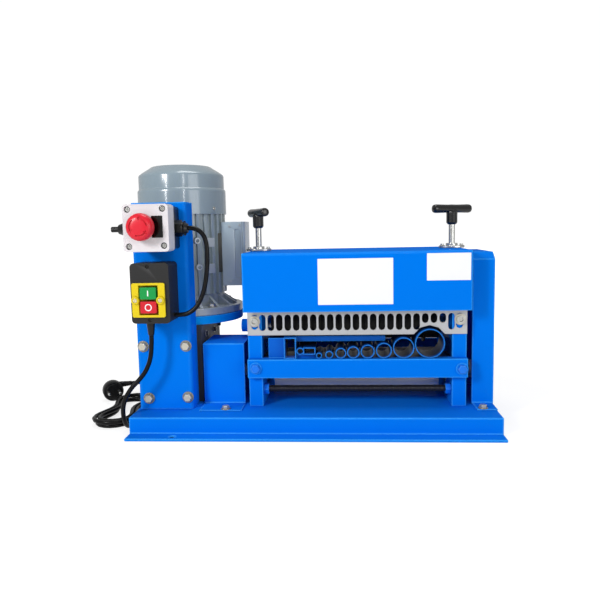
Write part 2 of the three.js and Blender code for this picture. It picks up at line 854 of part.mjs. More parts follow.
/** Points of a bent sheet profile: the outer bend is an arc and the inner bend runs parallel. */
function bentHood(sheet) {
  const shape = new THREE.Shape();
  const bend = coverBend;
  shape.moveTo(coverFront, coverFrontBottom);
  shape.lineTo(coverFront + sheet, coverFrontBottom);
  shape.lineTo(coverFront + sheet, coverTopZ - bend);
  shape.absarc(coverFront + bend, coverTopZ - bend, bend - sheet, Math.PI, Math.PI / 2, true);
  shape.lineTo(coverBack - bend, coverTopZ - sheet);
  shape.absarc(coverBack - bend, coverTopZ - bend, bend - sheet, Math.PI / 2, 0, true);
  shape.lineTo(coverBack - sheet, coverBackBottom);
  shape.lineTo(coverBack, coverBackBottom);
  shape.lineTo(coverBack, coverTopZ - bend);
  shape.absarc(coverBack - bend, coverTopZ - bend, bend, 0, Math.PI / 2, false);
  shape.lineTo(coverFront + bend, coverTopZ);
  shape.absarc(coverFront + bend, coverTopZ - bend, bend, Math.PI / 2, Math.PI, false);
  return shape;
}

/** Hood over the blades: front, top and back panels bent from one sheet. */
function topCover() {
  const left = leftPlateOuter - coverOverhang;
  const right = rightPlateOuter + coverOverhang;
  const hood = pushed(bentHood(coverSheet), left, right, 'yz', smallSides / 4);
  const hole = (x) => rod(bushNeckRadius + seatGap, coverUnderside - overrun, coverTopZ + overrun,
    'z', x, lineY, 0);
  return cut(hood, hole(leftPlateX), hole(rightPlateX));
}

const endCoverLeft = rightPlateOuter + endCoverGap;
const endCoverRight = endCoverLeft + endCoverWidth;

/** Side outline of the end cover, grown or shrunk by a sheet. */
function endCoverOutline(inset) {
  const half = endCoverDepth / 2 - inset;
  const top = endCoverTop - inset;
  const low = baseTop + seatGap;
  return outline([
    [-half, inset > 0 ? low - overrun : low], [half, inset > 0 ? low - overrun : low],
    [half, top], [-half + endCoverChamferDepth, top], [-half, top - endCoverChamferDrop],
  ]);
}

/** Box-shaped cover over the right shaft ends, open towards the stand, with a foot at the front. */
function endCover() {
  const outer = pushed(endCoverOutline(0), endCoverLeft, endCoverRight, 'yz');
  const inner = pushed(endCoverOutline(endCoverSheet), endCoverLeft - overrun,
    endCoverRight - endCoverSheet, 'yz');
  const half = endCoverDepth / 2;
  const low = baseTop + seatGap;
  const foot = block(endCoverLeft + endFootInset, endCoverRight - endFootInset,
    -half - endFootDepth, -half + endCoverSheet, low, low + endCoverSheet);
  return joined(cut(outer, inner), foot);
}

/** Cover over the shaft coupling, bent down at the front and the back, with a foot at the front. */
function couplingCover() {
  const left = couplingCoverLeft;
  const right = left + couplingCoverWidth;
  const low = baseTop + seatGap;
  const sheet = couplingCoverSheet;
  const profile = outline([
    [couplingCoverFront - couplingFootDepth, low],
    [couplingCoverFront + sheet, low],
    [couplingCoverFront + sheet, couplingCoverTop - sheet],
    [couplingCoverBack - sheet, couplingCoverTop - sheet],
    [couplingCoverBack - sheet, low],
    [couplingCoverBack, low],
    [couplingCoverBack, couplingCoverTop],
    [couplingCoverFront, couplingCoverTop],
    [couplingCoverFront, low + sheet],
    [couplingCoverFront - couplingFootDepth, low + sheet],
  ]);
  return pushed(profile, left, right, 'yz');
}

// Coupling

const couplingMiddle = (housingRight + leftPlateOuter) / 2;

/** Jaws that reach from one hub towards the other, as sectors of a ring. */
function jawSet(from, to, phase) {
  const inner = couplingRadius * couplingJawInnerShare;
  const sweep = 2 * Math.PI / couplingJawCount * couplingJawShare;
  const jaws = [];
  for (let index = 0; index < couplingJawCount; index += 1) {
    const middle = phase + 2 * Math.PI * index / couplingJawCount;
    const shape = new THREE.Shape();
    shape.absarc(0, 0, couplingRadius, middle - sweep / 2, middle + sweep / 2, false);
    shape.absarc(0, 0, inner, middle + sweep / 2, middle - sweep / 2, true);
    jaws.push(pushed(shape, from, to, 'yz', smallSides / 4));
  }
  return jaws;
}

/** Coupling half with its bore and jaws, about the drive axis. */
function couplingHalf(side) {
  const face = side * couplingJawLength / 2;
  const back = side * (couplingJawLength / 2 + couplingHubLength);
  const hub = rod(couplingRadius, Math.min(face, back), Math.max(face, back), 'x', 0, 0, 0);
  const reach = -side * (couplingJawLength / 2 - seatGap);
  const phase = side > 0 ? 0 : Math.PI / couplingJawCount;
  const jaws = jawSet(Math.min(face, reach), Math.max(face, reach), phase);
  const boreFrom = Math.min(face, back) - overrun;
  const boreTo = Math.max(face, back) + overrun;
  const bore = rod(outputShaftRadius + seatGap, boreFrom, boreTo, 'x', 0, 0, 0);
  return cut(joined(hub, ...jaws), bore);
}

// Gearbox

/** Gearbox casting: wheel chamber, worm bore, shaft seat and the pad behind the column. */
function gearboxHousing() {
  const left = motorX - housingWidth / 2;
  const casting = block(left, housingRight, housingFront, housingBack, housingBottom, housingTop);
  const padFront = columnFront + columnSheet + seatGap;
  const pad = block(motorX - housingPadWidth / 2, motorX + housingPadWidth / 2,
    padFront, housingFront + overrun, housingPadBottom, housingPadTop);
  const chamberHalf = wheelWidth / 2 + wheelCavityClearance;
  const chamber = rod(wheelRadius + wheelCavityClearance, motorX - chamberHalf, motorX + chamberHalf,
    'x', 0, lineY, lineZ);
  const outputSeat = rod(outputShaftRadius + seatGap, motorX - chamberHalf - outputSeatWall,
    housingRight + overrun, 'x', 0, lineY, lineZ);
  const wormChamber = rod(wormRadius + wormBoreClearance, lineZ - wormLength / 2 - seatGap,
    lineZ + wormLength / 2 + wormWall, 'z', motorX, motorY, 0);
  const wormSeat = rod(wormShaftRadius + wormWall / 2, wormTip - seatGap, housingTop + overrun,
    'z', motorX, motorY, 0);
  return cut(joined(casting, pad), chamber, outputSeat, wormChamber, wormSeat);
}

/** Worm wheel with its output shaft, about the drive axis. */
function wormWheel() {
  const shape = new THREE.Shape();
  const step = 2 * Math.PI / wheelTeeth;
  for (let tooth = 0; tooth < wheelTeeth; tooth += 1) {
    const corners = [[wheelRootRadius, 0], [wheelRootRadius, 1], [wheelRadius, 2], [wheelRadius, 3]];
    corners.forEach(([radius, quarter]) => {
      const angle = step * (tooth + quarter / corners.length);
      const point = [radius * Math.cos(angle), radius * Math.sin(angle)];
      if (tooth === 0 && quarter === 0) {
        shape.moveTo(...point);
      } else {
        shape.lineTo(...point);
      }
    });
  }
  const wheel = pushed(shape, motorX - wheelWidth / 2, motorX + wheelWidth / 2, 'yz');
  const shaftLeft = motorX - wheelWidth / 2 - wheelCavityClearance - outputSeatWall + seatGap;
  const shaftRight = couplingMiddle - couplingJawLength / 2;
  return joined(wheel, rod(outputShaftRadius, shaftLeft, shaftRight, 'x', 0, 0, 0));
}

/** Worm with its bearing ends and the socket that takes the motor shaft, about its own axis. */
function worm() {
  const half = wormLength / 2;
  const sleeve = wormShaftRadius + wormWall / 2;
  const socket = rotorShaftRadius + seatGap;
  const socketBottom = wormTop - wormSocketDepth - lineZ;
  const journal = sleeve - seatGap;
  const [tip, top] = [wormTip - lineZ, wormTop - lineZ];
  const profile = [
    [0, tip], [journal, tip], [journal, -half], [wormRadius, -half], [wormRadius, half], [journal, half],
    [journal, top], [socket, top], [socket, socketBottom], [0, socketBottom],
  ];
  return turned(profile, 'z', 0, 0, 0, roundSides);
}

// Motor

/** Round flange outline with one flat on the side away from the rollers. */
function flangeOutline(radius) {
  const edge = Math.acos(flangeFlat / radius);
  const shape = new THREE.Shape();
  shape.absarc(0, 0, radius, -Math.PI + edge, Math.PI - edge, false);
  return shape;
}

/** Adapter flange bolted on top of the gearbox. */
function adapterFlange() {
  const disc = pushed(flangeOutline(flangeRadius), adapterBottom, adapterTop, 'xy', fineSides);
  return cut(disc, rod(adapterBore, adapterBottom - overrun, adapterTop + overrun, 'z', 0, 0, 0));
}

/** Motor end shield: the flange rim and the bell that narrows up to the frame. */
function motorFlange() {
  const rimTop = motorFlangeBottom + motorFlangeRim;
  const rim = pushed(flangeOutline(flangeRadius), motorFlangeBottom, rimTop, 'xy', fineSides);
  const bell = turned([
    [0, motorFlangeBottom], [flangeFlat, motorFlangeBottom], [flangeFlat, rimTop],
    [motorFlangeNeck + motorFlangeRim / 4, motorFlangeTop - motorFlangeRim / 2],
    [motorFlangeNeck, motorFlangeTop], [0, motorFlangeTop],
  ], 'z', 0, 0, 0, fineSides);
  const sleeve = wormShaftRadius + wormWall / 2;
  const bore = rod(sleeve + seatGap, motorFlangeBottom - overrun, motorFlangeTop + overrun, 'z', 0, 0, 0);
  return cut(joined(rim, bell), bore);
}

/** Finned motor frame with the stator bore and the bearing seats. */
function motorFrame() {
  const shape = new THREE.Shape();
  const step = 2 * Math.PI / frameFinCount;
  const finHalf = step * frameFinShare / 2;
  for (let fin = 0; fin < frameFinCount; fin += 1) {
    const middle = step * fin;
    const corners = [[frameRadius, middle - finHalf], [frameFinRadius, middle - finHalf],
      [frameFinRadius, middle + finHalf], [frameRadius, middle + finHalf]];
    corners.forEach(([radius, angle], index) => {
      const point = [radius * Math.cos(angle), radius * Math.sin(angle)];
      if (fin === 0 && index === 0) {
        shape.moveTo(...point);
      } else {
        shape.lineTo(...point);
      }
    });
  }
  const spigotRadius = cowlRadius - cowlWall - seatGap;
  const spigot = rod(spigotRadius, frameTop - frameSpigotHeight, frameTop, 'z', 0, 0, 0, fineSides);
  const frame = joined(pushed(shape, frameBottom, frameTop, 'xy'), spigot);
  const chamber = rod(frameBore, frameBottom + frameEndWall, frameTop - frameEndWall, 'z', 0, 0, 0);
  const seat = rod(rotorShaftRadius + seatGap, frameBottom - overrun, frameTop + overrun, 'z', 0, 0, 0);
  return cut(frame, chamber, seat);
}

const chamberLength = frameTop - frameBottom - 2 * frameEndWall;
const rotorBottom = (frameBottom + frameTop - rotorCoreShare * chamberLength) / 2;
const rotorTop = (frameBottom + frameTop + rotorCoreShare * chamberLength) / 2;
const rotorShaftBottom = wormTop - wormSocketDepth + seatGap;

/** Rotor core on its shaft, from the worm socket to the fan. */
function rotor() {
  const profile = [
    [0, rotorShaftBottom], [rotorShaftRadius, rotorShaftBottom],
    [rotorShaftRadius, rotorBottom], [rotorRadius, rotorBottom],
    [rotorRadius, rotorTop], [rotorShaftRadius, rotorTop],
    [rotorShaftRadius, frameTop + rotorShaftRise], [0, frameTop + rotorShaftRise],
  ];
  return turned(profile, 'z', 0, 0, 0, roundSides);
}

/** Cooling fan: a disc with straight blades on a hub. */
function motorFan() {
  const low = frameTop + fanLift;
  const disc = rod(fanRadius, low, low + fanDiscThickness, 'z', 0, 0, 0);
  const hub = rod(fanHubRadius, low, low + fanDiscThickness + fanBladeHeight, 'z', 0, 0, 0);
  const blades = [];
  for (let index = 0; index < fanBladeCount; index += 1) {
    const geometry = new THREE.BoxGeometry(fanRadius - fanHubRadius / 2, fanBladeThickness,
      fanBladeHeight + fanDiscThickness / 2);
    geometry.translate((fanRadius + fanHubRadius / 2) / 2, 0,
      low + fanDiscThickness / 2 + (fanBladeHeight + fanDiscThickness / 2) / 2);
    geometry.rotateZ(2 * Math.PI * index / fanBladeCount);
    blades.push(solid(geometry));
  }
  const bore = rod(rotorShaftRadius + seatGap, low - overrun, low + 2 * fanBladeHeight, 'z', 0, 0, 0);
  return cut(joined(disc, hub, ...blades), bore);
}

/** Fan cowl: a stepped shell, open below, with a ring of slots in its crown. */
function fanCowl() {
  const wall = cowlWall;
  const profile = [
    [cowlRadius - wall, cowlBottom], [cowlRadius, cowlBottom], [cowlRadius, cowlStep - wall],
    [cowlUpperRadius, cowlStep], [cowlUpperRadius, cowlShoulder], [cowlCrownRadius, cowlTop], [0, cowlTop],
    [0, cowlTop - wall], [cowlCrownRadius - wall / 2, cowlTop - wall],
    [cowlUpperRadius - wall, cowlShoulder - wall / 2], [cowlUpperRadius - wall, cowlStep - wall],
    [cowlRadius - wall, cowlStep - 2 * wall], [cowlRadius - wall, cowlBottom],
  ];
  const shell = turned(profile, 'z', 0, 0, 0, fineSides);
  const slots = [];
  for (let index = 0; index < cowlVentCount; index += 1) {
    const length = cowlVentOuter - cowlVentInner;
    const geometry = new THREE.BoxGeometry(length, cowlVentWidth, cowlWall + 2 * overrun);
    geometry.translate((cowlVentOuter + cowlVentInner) / 2, 0, cowlTop - cowlWall / 2);
    geometry.rotateZ(2 * Math.PI * index / cowlVentCount);
    slots.push(solid(geometry));
  }
  return cut(shell, ...slots);
}

/** Terminal box with its back shaped to the frame, hollow and open towards it. */
function terminalBox() {
  const frameSide = motorX + frameFinRadius + seatGap;
  const left = frameSide - terminalBoxReach;
  const right = frameSide + terminalBoxWidth;
  const back = terminalBoxFront + terminalBoxDepth;
  const top = terminalBoxBottom + terminalBoxHeight;
  const shape = roundedBox(left, right, terminalBoxFront, back, terminalBoxCorner);
  const body = pushed(shape, terminalBoxBottom, top, 'xy', smallSides / 4);
  const wall = terminalBoxWall;
  const hollow = block(left - overrun, right - wall, terminalBoxFront + wall, back - wall,
    terminalBoxBottom + wall, top - wall);
  const frameRoom = rod(frameFinRadius + 2 * seatGap, terminalBoxBottom - overrun, top + overrun,
    'z', motorX, motorY, 0, fineSides);
  return cut(body, hollow, frameRoom);
}

// Column

/** Upright channel with rounded edges, its open side towards the gearbox. */
function column() {
  const left = columnLeft;
  const right = columnLeft + columnWidth;
  const bend = columnBend;
  const shape = new THREE.Shape();
  shape.moveTo(left, columnBack);
  shape.lineTo(left, columnFront + bend);
  shape.absarc(left + bend, columnFront + bend, bend, Math.PI, 3 * Math.PI / 2, false);
  shape.absarc(right - bend, columnFront + bend, bend, -Math.PI / 2, 0, false);
  shape.lineTo(right, columnBack);
  shape.lineTo(right - columnSheet, columnBack);
  shape.absarc(right - bend, columnFront + bend, bend - columnSheet, 0, -Math.PI / 2, true);
  shape.absarc(left + bend, columnFront + bend, bend - columnSheet, -Math.PI / 2, -Math.PI, true);
  shape.lineTo(left + columnSheet, columnBack);
  return pushed(shape, columnBottom, columnTop, 'xy', smallSides / 4);
}

// Emergency stop station

const stationRight = stationLeft + stationWidth;
const stationTop = stationBottom + stationHeight;
const plungerBack = stationFront + plungerLength;

/** Lower half of the station box with the cable gland on the right and the blanked gland on the left. */
function stationBase() {
  const inset = stationBaseInset;
  const shape = roundedBox(stationLeft + inset, stationRight - inset, stationBottom + inset,
    stationTop - inset, stationCorner);
  const body = pushed(shape, stationBaseFront, columnFront - seatGap, 'xz', smallSides / 4);
  const wall = stationWall + inset;
  const hollow = block(stationLeft + wall, stationRight - wall, stationBaseFront - overrun,
    columnFront - seatGap - stationWall, stationBottom + wall, stationTop - wall);
  const right = stationRight - inset;
  const left = stationLeft + inset;
  const hexEnd = right + glandHexLength;
  const domeEnd = hexEnd + glandDomeLength;
  const onAxis = (profile) => turned(profile, 'x', 0, glandY, glandZ, smallSides);
  const hexagon = (from, to) => rod(glandHexRadius, from, to, 'x', 0, glandY, glandZ, hexSides);
  const hex = hexagon(right - stationWall / 2, hexEnd);
  const dome = onAxis([[0, hexEnd - overrun], [glandDomeRadius, hexEnd - overrun],
    [glandDomeRadius, hexEnd], [linkDiameter, domeEnd], [0, domeEnd]]);
  const blankHexEnd = left - blankHexLength;
  const blankEnd = blankHexEnd - blankDomeLength;
  const pinEnd = blankEnd - blankPinLength;
  const blankHex = hexagon(blankHexEnd, left + stationWall / 2);
  const blankDome = onAxis([[0, blankEnd], [linkDiameter, blankEnd], [glandDomeRadius, blankHexEnd],
    [0, blankHexEnd]]);
  const pin = onAxis([[0, pinEnd], [blankPinRadius, pinEnd], [blankPinRadius, blankEnd + overrun],
    [0, blankEnd + overrun]]);
  return cut(joined(body, hex, dome, blankHex, blankDome, pin), hollow);
}

/** Lid of the station with the hole that the plunger slides in. */
function stationLid() {
  const shape = roundedBox(stationLeft, stationRight, stationBottom, stationTop, stationCorner);
  const body = pushed(shape, stationFront, stationBaseFront - seatGap, 'xz', smallSides / 4);
  const wall = stationWall;
  const hollow = block(stationLeft + wall, stationRight - wall, stationFront + wall,
    stationBaseFront + overrun, stationBottom + wall, stationTop - wall);
  const hole = rod(plungerRadius + seatGap, stationFront - overrun, stationFront + stationLidDepth,
    'y', capCentreX, 0, capCentreZ);
  return cut(body, hollow, hole);
}

/** Plunger of the stop button with the socket for the cap's stem, about its own axis. */
function plunger() {
  const front = stationFront - capUndersideGap + seatGap;
  const profile = [[capStemRadius + seatGap, front], [plungerRadius, front], [plungerRadius, plungerBack],
    [0, plungerBack], [0, plungerBack - plungerCollarHeight],
    [capStemRadius + seatGap, plungerBack - plungerCollarHeight], [capStemRadius + seatGap, front]];
  return turned(profile, 'y', 0, 0, 0, roundSides);
}

/** Mushroom cap with its stem, about its own axis. */
function mushroomCap() {
  const under = stationFront - capUndersideGap;
  const stemEnd = plungerBack - plungerCollarHeight - seatGap;
  const face = under - capHeight;
  const profile = [[0, face]];
  for (let step = 1; step <= capDomeSteps; step += 1) {
    const share = step / capDomeSteps;
    profile.push([capRadius * Math.sqrt(share), face + capDomeDepth * (1 - Math.sqrt(1 - share * share))]);
  }
  profile.push([capRadius, under], [capStemRadius, under], [capStemRadius, stemEnd], [0, stemEnd]);
  return turned(profile, 'y', 0, 0, 0, roundSides);
}

// Switch box

const bezelRight = bezelLeft + bezelWidth;
const openingLeft = buttonCentreX - bezelOpeningWidth / 2;
const openingBottom = bezelCentreZ - bezelOpeningHeight / 2;
const buttonRise = (buttonHeight + buttonGap) / 2;

/** Switch enclosure with the opening that takes the bezel and the lead entries. */
function switchBox() {
  const shape = roundedBox(switchLeft, switchLeft + switchWidth, switchBottom,
    switchBottom + switchHeight, switchCorner);
  const body = pushed(shape, switchFront, columnFront - seatGap, 'xz', smallSides / 4);
  const wall = switchWall;
  const hollow = block(switchLeft + wall, switchLeft + switchWidth - wall, switchFront + wall,
    columnFront - seatGap - wall, switchBottom + wall, switchBottom + switchHeight - wall);
  const opening = block(openingLeft - wall, openingLeft + bezelOpeningWidth + wall, switchFront - overrun,
    switchFront + 2 * wall, openingBottom - wall / 2, openingBottom + bezelOpeningHeight + wall / 2);
  return cut(body, hollow, opening);
}

/** Yellow frame of the switch with its skirt behind the face. */
function switchBezel() {
  const shape = roundedBox(bezelLeft, bezelRight, bezelBottom, bezelBottom + bezelHeight, switchCorner / 2);
  const plate = pushed(shape, bezelFront, switchFront - seatGap, 'xz', smallSides / 4);
  const wall = switchWall - 2 * seatGap;
  const skirt = block(openingLeft - wall, openingLeft + bezelOpeningWidth + wall, bezelFront + bezelProud / 2,
    bezelFront + bezelDepth, openingBottom - wall / 2, openingBottom + bezelOpeningHeight + wall / 2);
  const opening = block(openingLeft, openingLeft + bezelOpeningWidth, bezelFront - overrun,
    bezelFront + bezelDepth - bezelFloor, openingBottom, openingBottom + bezelOpeningHeight);
  const stemHole = (z) => rod(buttonStemRadius + seatGap, bezelFront, bezelFront + bezelDepth + overrun,
    'y', buttonCentreX, 0, z, smallSides);
  const holes = [buttonRise, -buttonRise].map((rise) => stemHole(bezelCentreZ + rise));
  return cut(joined(plate, skirt), opening, ...holes);
}

/** Push button of the switch with the stem that slides in the bezel floor, about its own axis. */
function pushButton() {
  const half = buttonWidth / 2;
  const tall = buttonHeight / 2;
  const shape = roundedBox(-half, half, -tall, tall, switchCorner / 4);
  const front = bezelFront - buttonProud;
  const back = front + buttonDepth;
  const stem = rod(buttonStemRadius, back - overrun, back + buttonStemLength, 'y', 0, 0, 0, smallSides);
  return joined(pushed(shape, front, back, 'xz', smallSides / 8), stem);
}

/** Tapered sleeve where the mains lead leaves the switch box. */
function mainsGland() {
  const top = switchBottom - seatGap;
  const low = top - mainsGlandLength;
  const profile = [[0, low], [mainsGlandTipRadius, low], [mainsGlandRadius, top], [0, top]];
  return turned(profile, 'z', mainsGlandX, mainsGlandY, 0, smallSides);
}

// Leads

/** Round lead along a route, starting and ending square to what it meets. */
function lead(route, diameter) {
  const points = route.map((point) => new THREE.Vector3(...point));
  const curve = new THREE.CatmullRomCurve3(points, false, 'centripetal');
  const section = circle(0, 0, diameter / 2);
  const steps = leadStepsPerPoint * (route.length - 1);
  const options = { steps, extrudePath: curve, curveSegments: cordSides / 2 };
  return { body: solid(new THREE.ExtrudeGeometry(section, options)), length: curve.getLength() };
}

const hankFoldLength = Math.PI * (hankInnerRadius + hankPitch);
const hankRunShare = hankRunLength / (hankRunLength + hankFoldLength) / 2;

/** Place of the hank's centre line at a count of loops from its start. */
function hankPoint(turns) {
  const reversal = hankLoops / 2;
  const outer = hankInnerRadius + hankPitch * reversal;
  const radius = outer - hankPitch * Math.min(turns, hankLoops - turns);
  const halfRun = hankRunShare / 2;
  const climb = THREE.MathUtils.smoothstep(turns, reversal - halfRun, reversal + halfRun);
  const height = mainsDiameter / 2 + seatGap + hankLayerRise * climb;
  const phase = turns - Math.floor(turns);
  const runShare = hankRunShare;
  const foldShare = 0.5 - runShare;
  const [near, far] = hankRunY;
  const along = (share) => near + (far - near) * share;
  const drawn = (share) => radius - hankWaist * Math.sin(Math.PI * share) ** 2;
  if (phase < runShare) {
    const share = phase / runShare;
    return new THREE.Vector3(drawn(share), along(share), height);
  }
  if (phase < 0.5) {
    const angle = Math.PI * (phase - runShare) / foldShare;
    return new THREE.Vector3(radius * Math.cos(angle), far + radius * Math.sin(angle), height);
  }
  if (phase < 0.5 + runShare) {
    const share = (phase - 0.5) / runShare;
    return new THREE.Vector3(-drawn(share), along(1 - share), height);
  }
  const angle = Math.PI * (phase - 0.5 - runShare) / foldShare;
  return new THREE.Vector3(-radius * Math.cos(angle), near - radius * Math.sin(angle), height);
}

/** Points of the whole hank, from its start on the deck side to the end of its last run. */
function hankLine() {
  const points = [];
  const last = hankLoops + hankRunShare;
  const count = Math.round(hankStepsPerLoop * last);
  for (let step = 0; step <= count; step += 1) {
    points.push(hankPoint(last * step / count));
  }
  const leadIn = new THREE.Vector3(0, mainsDiameter, 0);
  points.unshift(points[0].clone().sub(leadIn));
  points.push(points[points.length - 1].clone().add(leadIn));
  return points.map((point) => point.add(new THREE.Vector3(hankCentreX, 0, 0)));
}

/** Sweeps a small ring of points along a line into one closed tube. */
function sweptTube(line, radius, sides) {
  const positions = [];
  const faces = [];
  line.forEach((point, index) => {
    const before = line[Math.max(index - 1, 0)];
    const after = line[Math.min(index + 1, line.length - 1)];
    const ahead = after.clone().sub(before).normalize();
    const side = new THREE.Vector3(0, 0, 1).cross(ahead).normalize();
    const up = ahead.clone().cross(side);
    for (let corner = 0; corner < sides; corner += 1) {
      const angle = 2 * Math.PI * corner / sides;
      const place = point.clone().addScaledVector(side, radius * Math.cos(angle));
      place.addScaledVector(up, radius * Math.sin(angle));
      positions.push(place.x, place.y, place.z);
    }
  });
  for (let ringIndex = 0; ringIndex < line.length - 1; ringIndex += 1) {
    for (let corner = 0; corner < sides; corner += 1) {
      const next = (corner + 1) % sides;
      const a = ringIndex * sides + corner;
      const b = ringIndex * sides + next;
      faces.push(a, b, a + sides, b, b + sides, a + sides);
    }
  }
  const lastRing = (line.length - 1) * sides;
  for (let corner = 1; corner < sides - 1; corner += 1) {
    faces.push(0, corner + 1, corner, lastRing, lastRing + corner, lastRing + corner + 1);
  }
  const geometry = new THREE.BufferGeometry();
  geometry.setAttribute('position', new THREE.Float32BufferAttribute(positions, 3));
  geometry.setIndex(faces);
  return solid(geometry);
}

/** Least distance between stretches of a tube that are not neighbours along it, less its diameter. */
function leastGap(line, diameter, skip) {
  let least = Infinity;
  for (let a = 0; a < line.length; a += 1) {
    for (let b = a + skip; b < line.length - 1; b += 1) {
      const segment = new THREE.Line3(line[b], line[b + 1]);
      const nearest = segment.closestPointToPoint(line[a], true, new THREE.Vector3());
      least = Math.min(least, nearest.distanceTo(line[a]) - diameter);
    }
  }
  return least;
}

/** Length of a line through points. */
function lineLength(line) {
  return line.slice(1).reduce((sum, point, index) => sum + point.distanceTo(line[index]), 0);
}

/** Round two-pin plug with its side boot, about the middle of its body, pins towards -Y. */
function mainsPlug() {
  const half = plugThickness / 2;
  const chamfer = plugBootRadius / 2;
  const body = turned([
    [0, -half], [plugRadius - chamfer, -half], [plugRadius, -half + chamfer],
    [plugRadius, half - 2 * chamfer], [plugRadius - 2 * chamfer, half], [0, half],
  ], 'y', 0, 0, 0, roundSides);
  const boot = turned([
    [0, 0], [plugBootRadius, 0], [plugBootRadius, plugRadius],
    [plugBootTipRadius, plugRadius + plugBoot], [0, plugRadius + plugBoot],
  ], 'x', 0, 0, plugBootLift, smallSides);
  const pin = (side) => rod(plugPinRadius, -half - plugPinLength, -half + plugPinSink, 'y',
    side * plugPinSpacing / 2, 0, 0, smallSides);
  return joined(body, boot, pin(-1), pin(1));
}

// Assembly

addPart('base_tray', baseTray(), bluePaint());
addPart('side_plate_left', sidePlate(leftPlateX), bluePaint());
addPart('side_plate_right', sidePlate(rightPlateX), bluePaint());
addPart('tie_rod', tieRod(), darkSteel());
addPart('front_beam', frontBeam(), bluePaint());
addPart('rear_beam', rearBeam(), bluePaint());
addPart('feed_guide_frame', feedGuideFrame(), bluePaint());
addPart('feed_tubes_oval_and_flat', ovalAndFlatTubes(), bluePaint());
roundTubes.forEach((tube, index) => {
  addPart(`feed_tube_round_${index + 1}`, roundTube(tube), bluePaint());
});
addPart('window_plate', windowPlate(), satinSteel());
addPart('drive_roller', driveRoller(), darkSteel());
addPart('roller_bearing_left', rollerBearing(leftPlateX), brightSteel());
addPart('roller_bearing_right', rollerBearing(rightPlateX), brightSteel());
addPart('bearing_block_left', bearingBlock(true), bluePaint(), leftPlateX, lineY, bladeZ);
addPart('bearing_block_right', bearingBlock(false), bluePaint(), rightPlateX, lineY, bladeZ);
addPart('blade_shaft', bladeShaft(), brightSteel(), 0, lineY, bladeZ);
addPart('blade_stack', bladeStack(), darkSteel(), 0, lineY, bladeZ);

const stations = [['left', leftPlateX, leftHandleAngle], ['right', rightPlateX, rightHandleAngle]];
for (const [side, x, angle] of stations) {
  addPart(`adjusting_screw_${side}`, adjustingScrew(), brightSteel(), x, lineY, 0);
  addPart(`screw_bush_${side}`, screwBush(), brightSteel(), x, lineY, 0);
  const knob = addPart(`screw_handle_${side}`, handle(), blackPlastic(), x, lineY, handleBottom);
  knob.rotation.z = THREE.MathUtils.degToRad(angle);
}

addPart('top_cover', topCover(), bluePaint());
addPart('end_cover', endCover(), bluePaint());
addPart('coupling_cover', couplingCover(), bluePaint());
addPart('coupling_half_gearbox', couplingHalf(-1), brightSteel(), couplingMiddle, lineY, lineZ);
addPart('coupling_half_roller', couplingHalf(1), brightSteel(), couplingMiddle, lineY, lineZ);

addPart('gearbox_housing', gearboxHousing(), castGrey());
addPart('worm_wheel', wormWheel(), finish(0xa8803a, 0.4, 0.9), 0, lineY, lineZ);
addPart('worm', worm(), darkSteel(), motorX, motorY, lineZ);
addPart('adapter_flange', adapterFlange(), bluePaint(), motorX, motorY, 0);
addPart('motor_flange', motorFlange(), greyPaint(), motorX, motorY, 0);
addPart('motor_frame', motorFrame(), greyPaint(), motorX, motorY, 0);
addPart('motor_rotor', rotor(), darkSteel(), motorX, motorY, 0);
addPart('motor_fan', motorFan(), blackPlastic(), motorX, motorY, 0);
addPart('fan_cowl', fanCowl(), greyPaint(), motorX, motorY, 0);
addPart('terminal_box', terminalBox(), greyPaint());

addPart('column', column(), bluePaint());
addPart('stop_station_base', stationBase(), blackPlastic());
addPart('stop_station_lid', stationLid(), whitePlastic());
addPart('stop_plunger', plunger(), blackPlastic(), capCentreX, 0, capCentreZ);
addPart('stop_cap', mushroomCap(), finish(0xd8202c, 0.4, 0), capCentreX, 0, capCentreZ);
addPart('switch_box', switchBox(), blackPlastic());
addPart('switch_bezel', switchBezel(), finish(0xf2d21a, 0.4, 0));
addPart('start_button', pushButton(), finish(0x17a84f, 0.4, 0), buttonCentreX, 0, bezelCentreZ + buttonRise);
addPart('stop_button', pushButton(), finish(0xd8202c, 0.4, 0), buttonCentreX, 0, bezelCentreZ - buttonRise);
addPart('mains_gland', mainsGland(), blackRubber());

const glandFace = stationRight - stationBaseInset + glandHexLength + glandDomeLength;
const linkStart = [glandFace + seatGap, glandY, glandZ];
const linkSecond = [glandFace + seatGap + linkDiameter / 2, glandY, glandZ];
const switchRight = switchLeft + switchWidth;
const linkEntry = linkRoute[linkRoute.length - 1];
const linkEnd = [switchRight + seatGap, linkEntry[1], linkEntryZ];
const linkBeforeEnd = [switchRight + linkDiameter / 2, linkEntry[1], linkEntryZ];
const linkLead = lead([linkStart, linkSecond, ...linkRoute, linkBeforeEnd, linkEnd], linkDiameter);
addPart('link_lead', linkLead.body, blackRubber());

const glandTip = switchBottom - seatGap - mainsGlandLength - seatGap;
const mainsStart = [mainsGlandX, mainsGlandY, glandTip];
const hank = hankLine();
const hankStart = hank[0];
const hankEnd = hank[hank.length - 1];
const mainsSecond = [mainsGlandX, mainsGlandY, glandTip - mainsDiameter];
const mainsEnd = [hankStart.x, hankStart.y - seatGap, hankStart.z];
const mainsBeforeEnd = [hankStart.x, hankStart.y - seatGap - mainsDiameter, hankStart.z];
const mainsLine = [mainsStart, mainsSecond, ...mainsRoute, mainsBeforeEnd, mainsEnd];
const mainsLead = lead(mainsLine, mainsDiameter);
addPart('mains_cord', mainsLead.body, blackRubber());
addPart('cord_hank', sweptTube(hank, mainsDiameter / 2, hankSides), blackRubber());

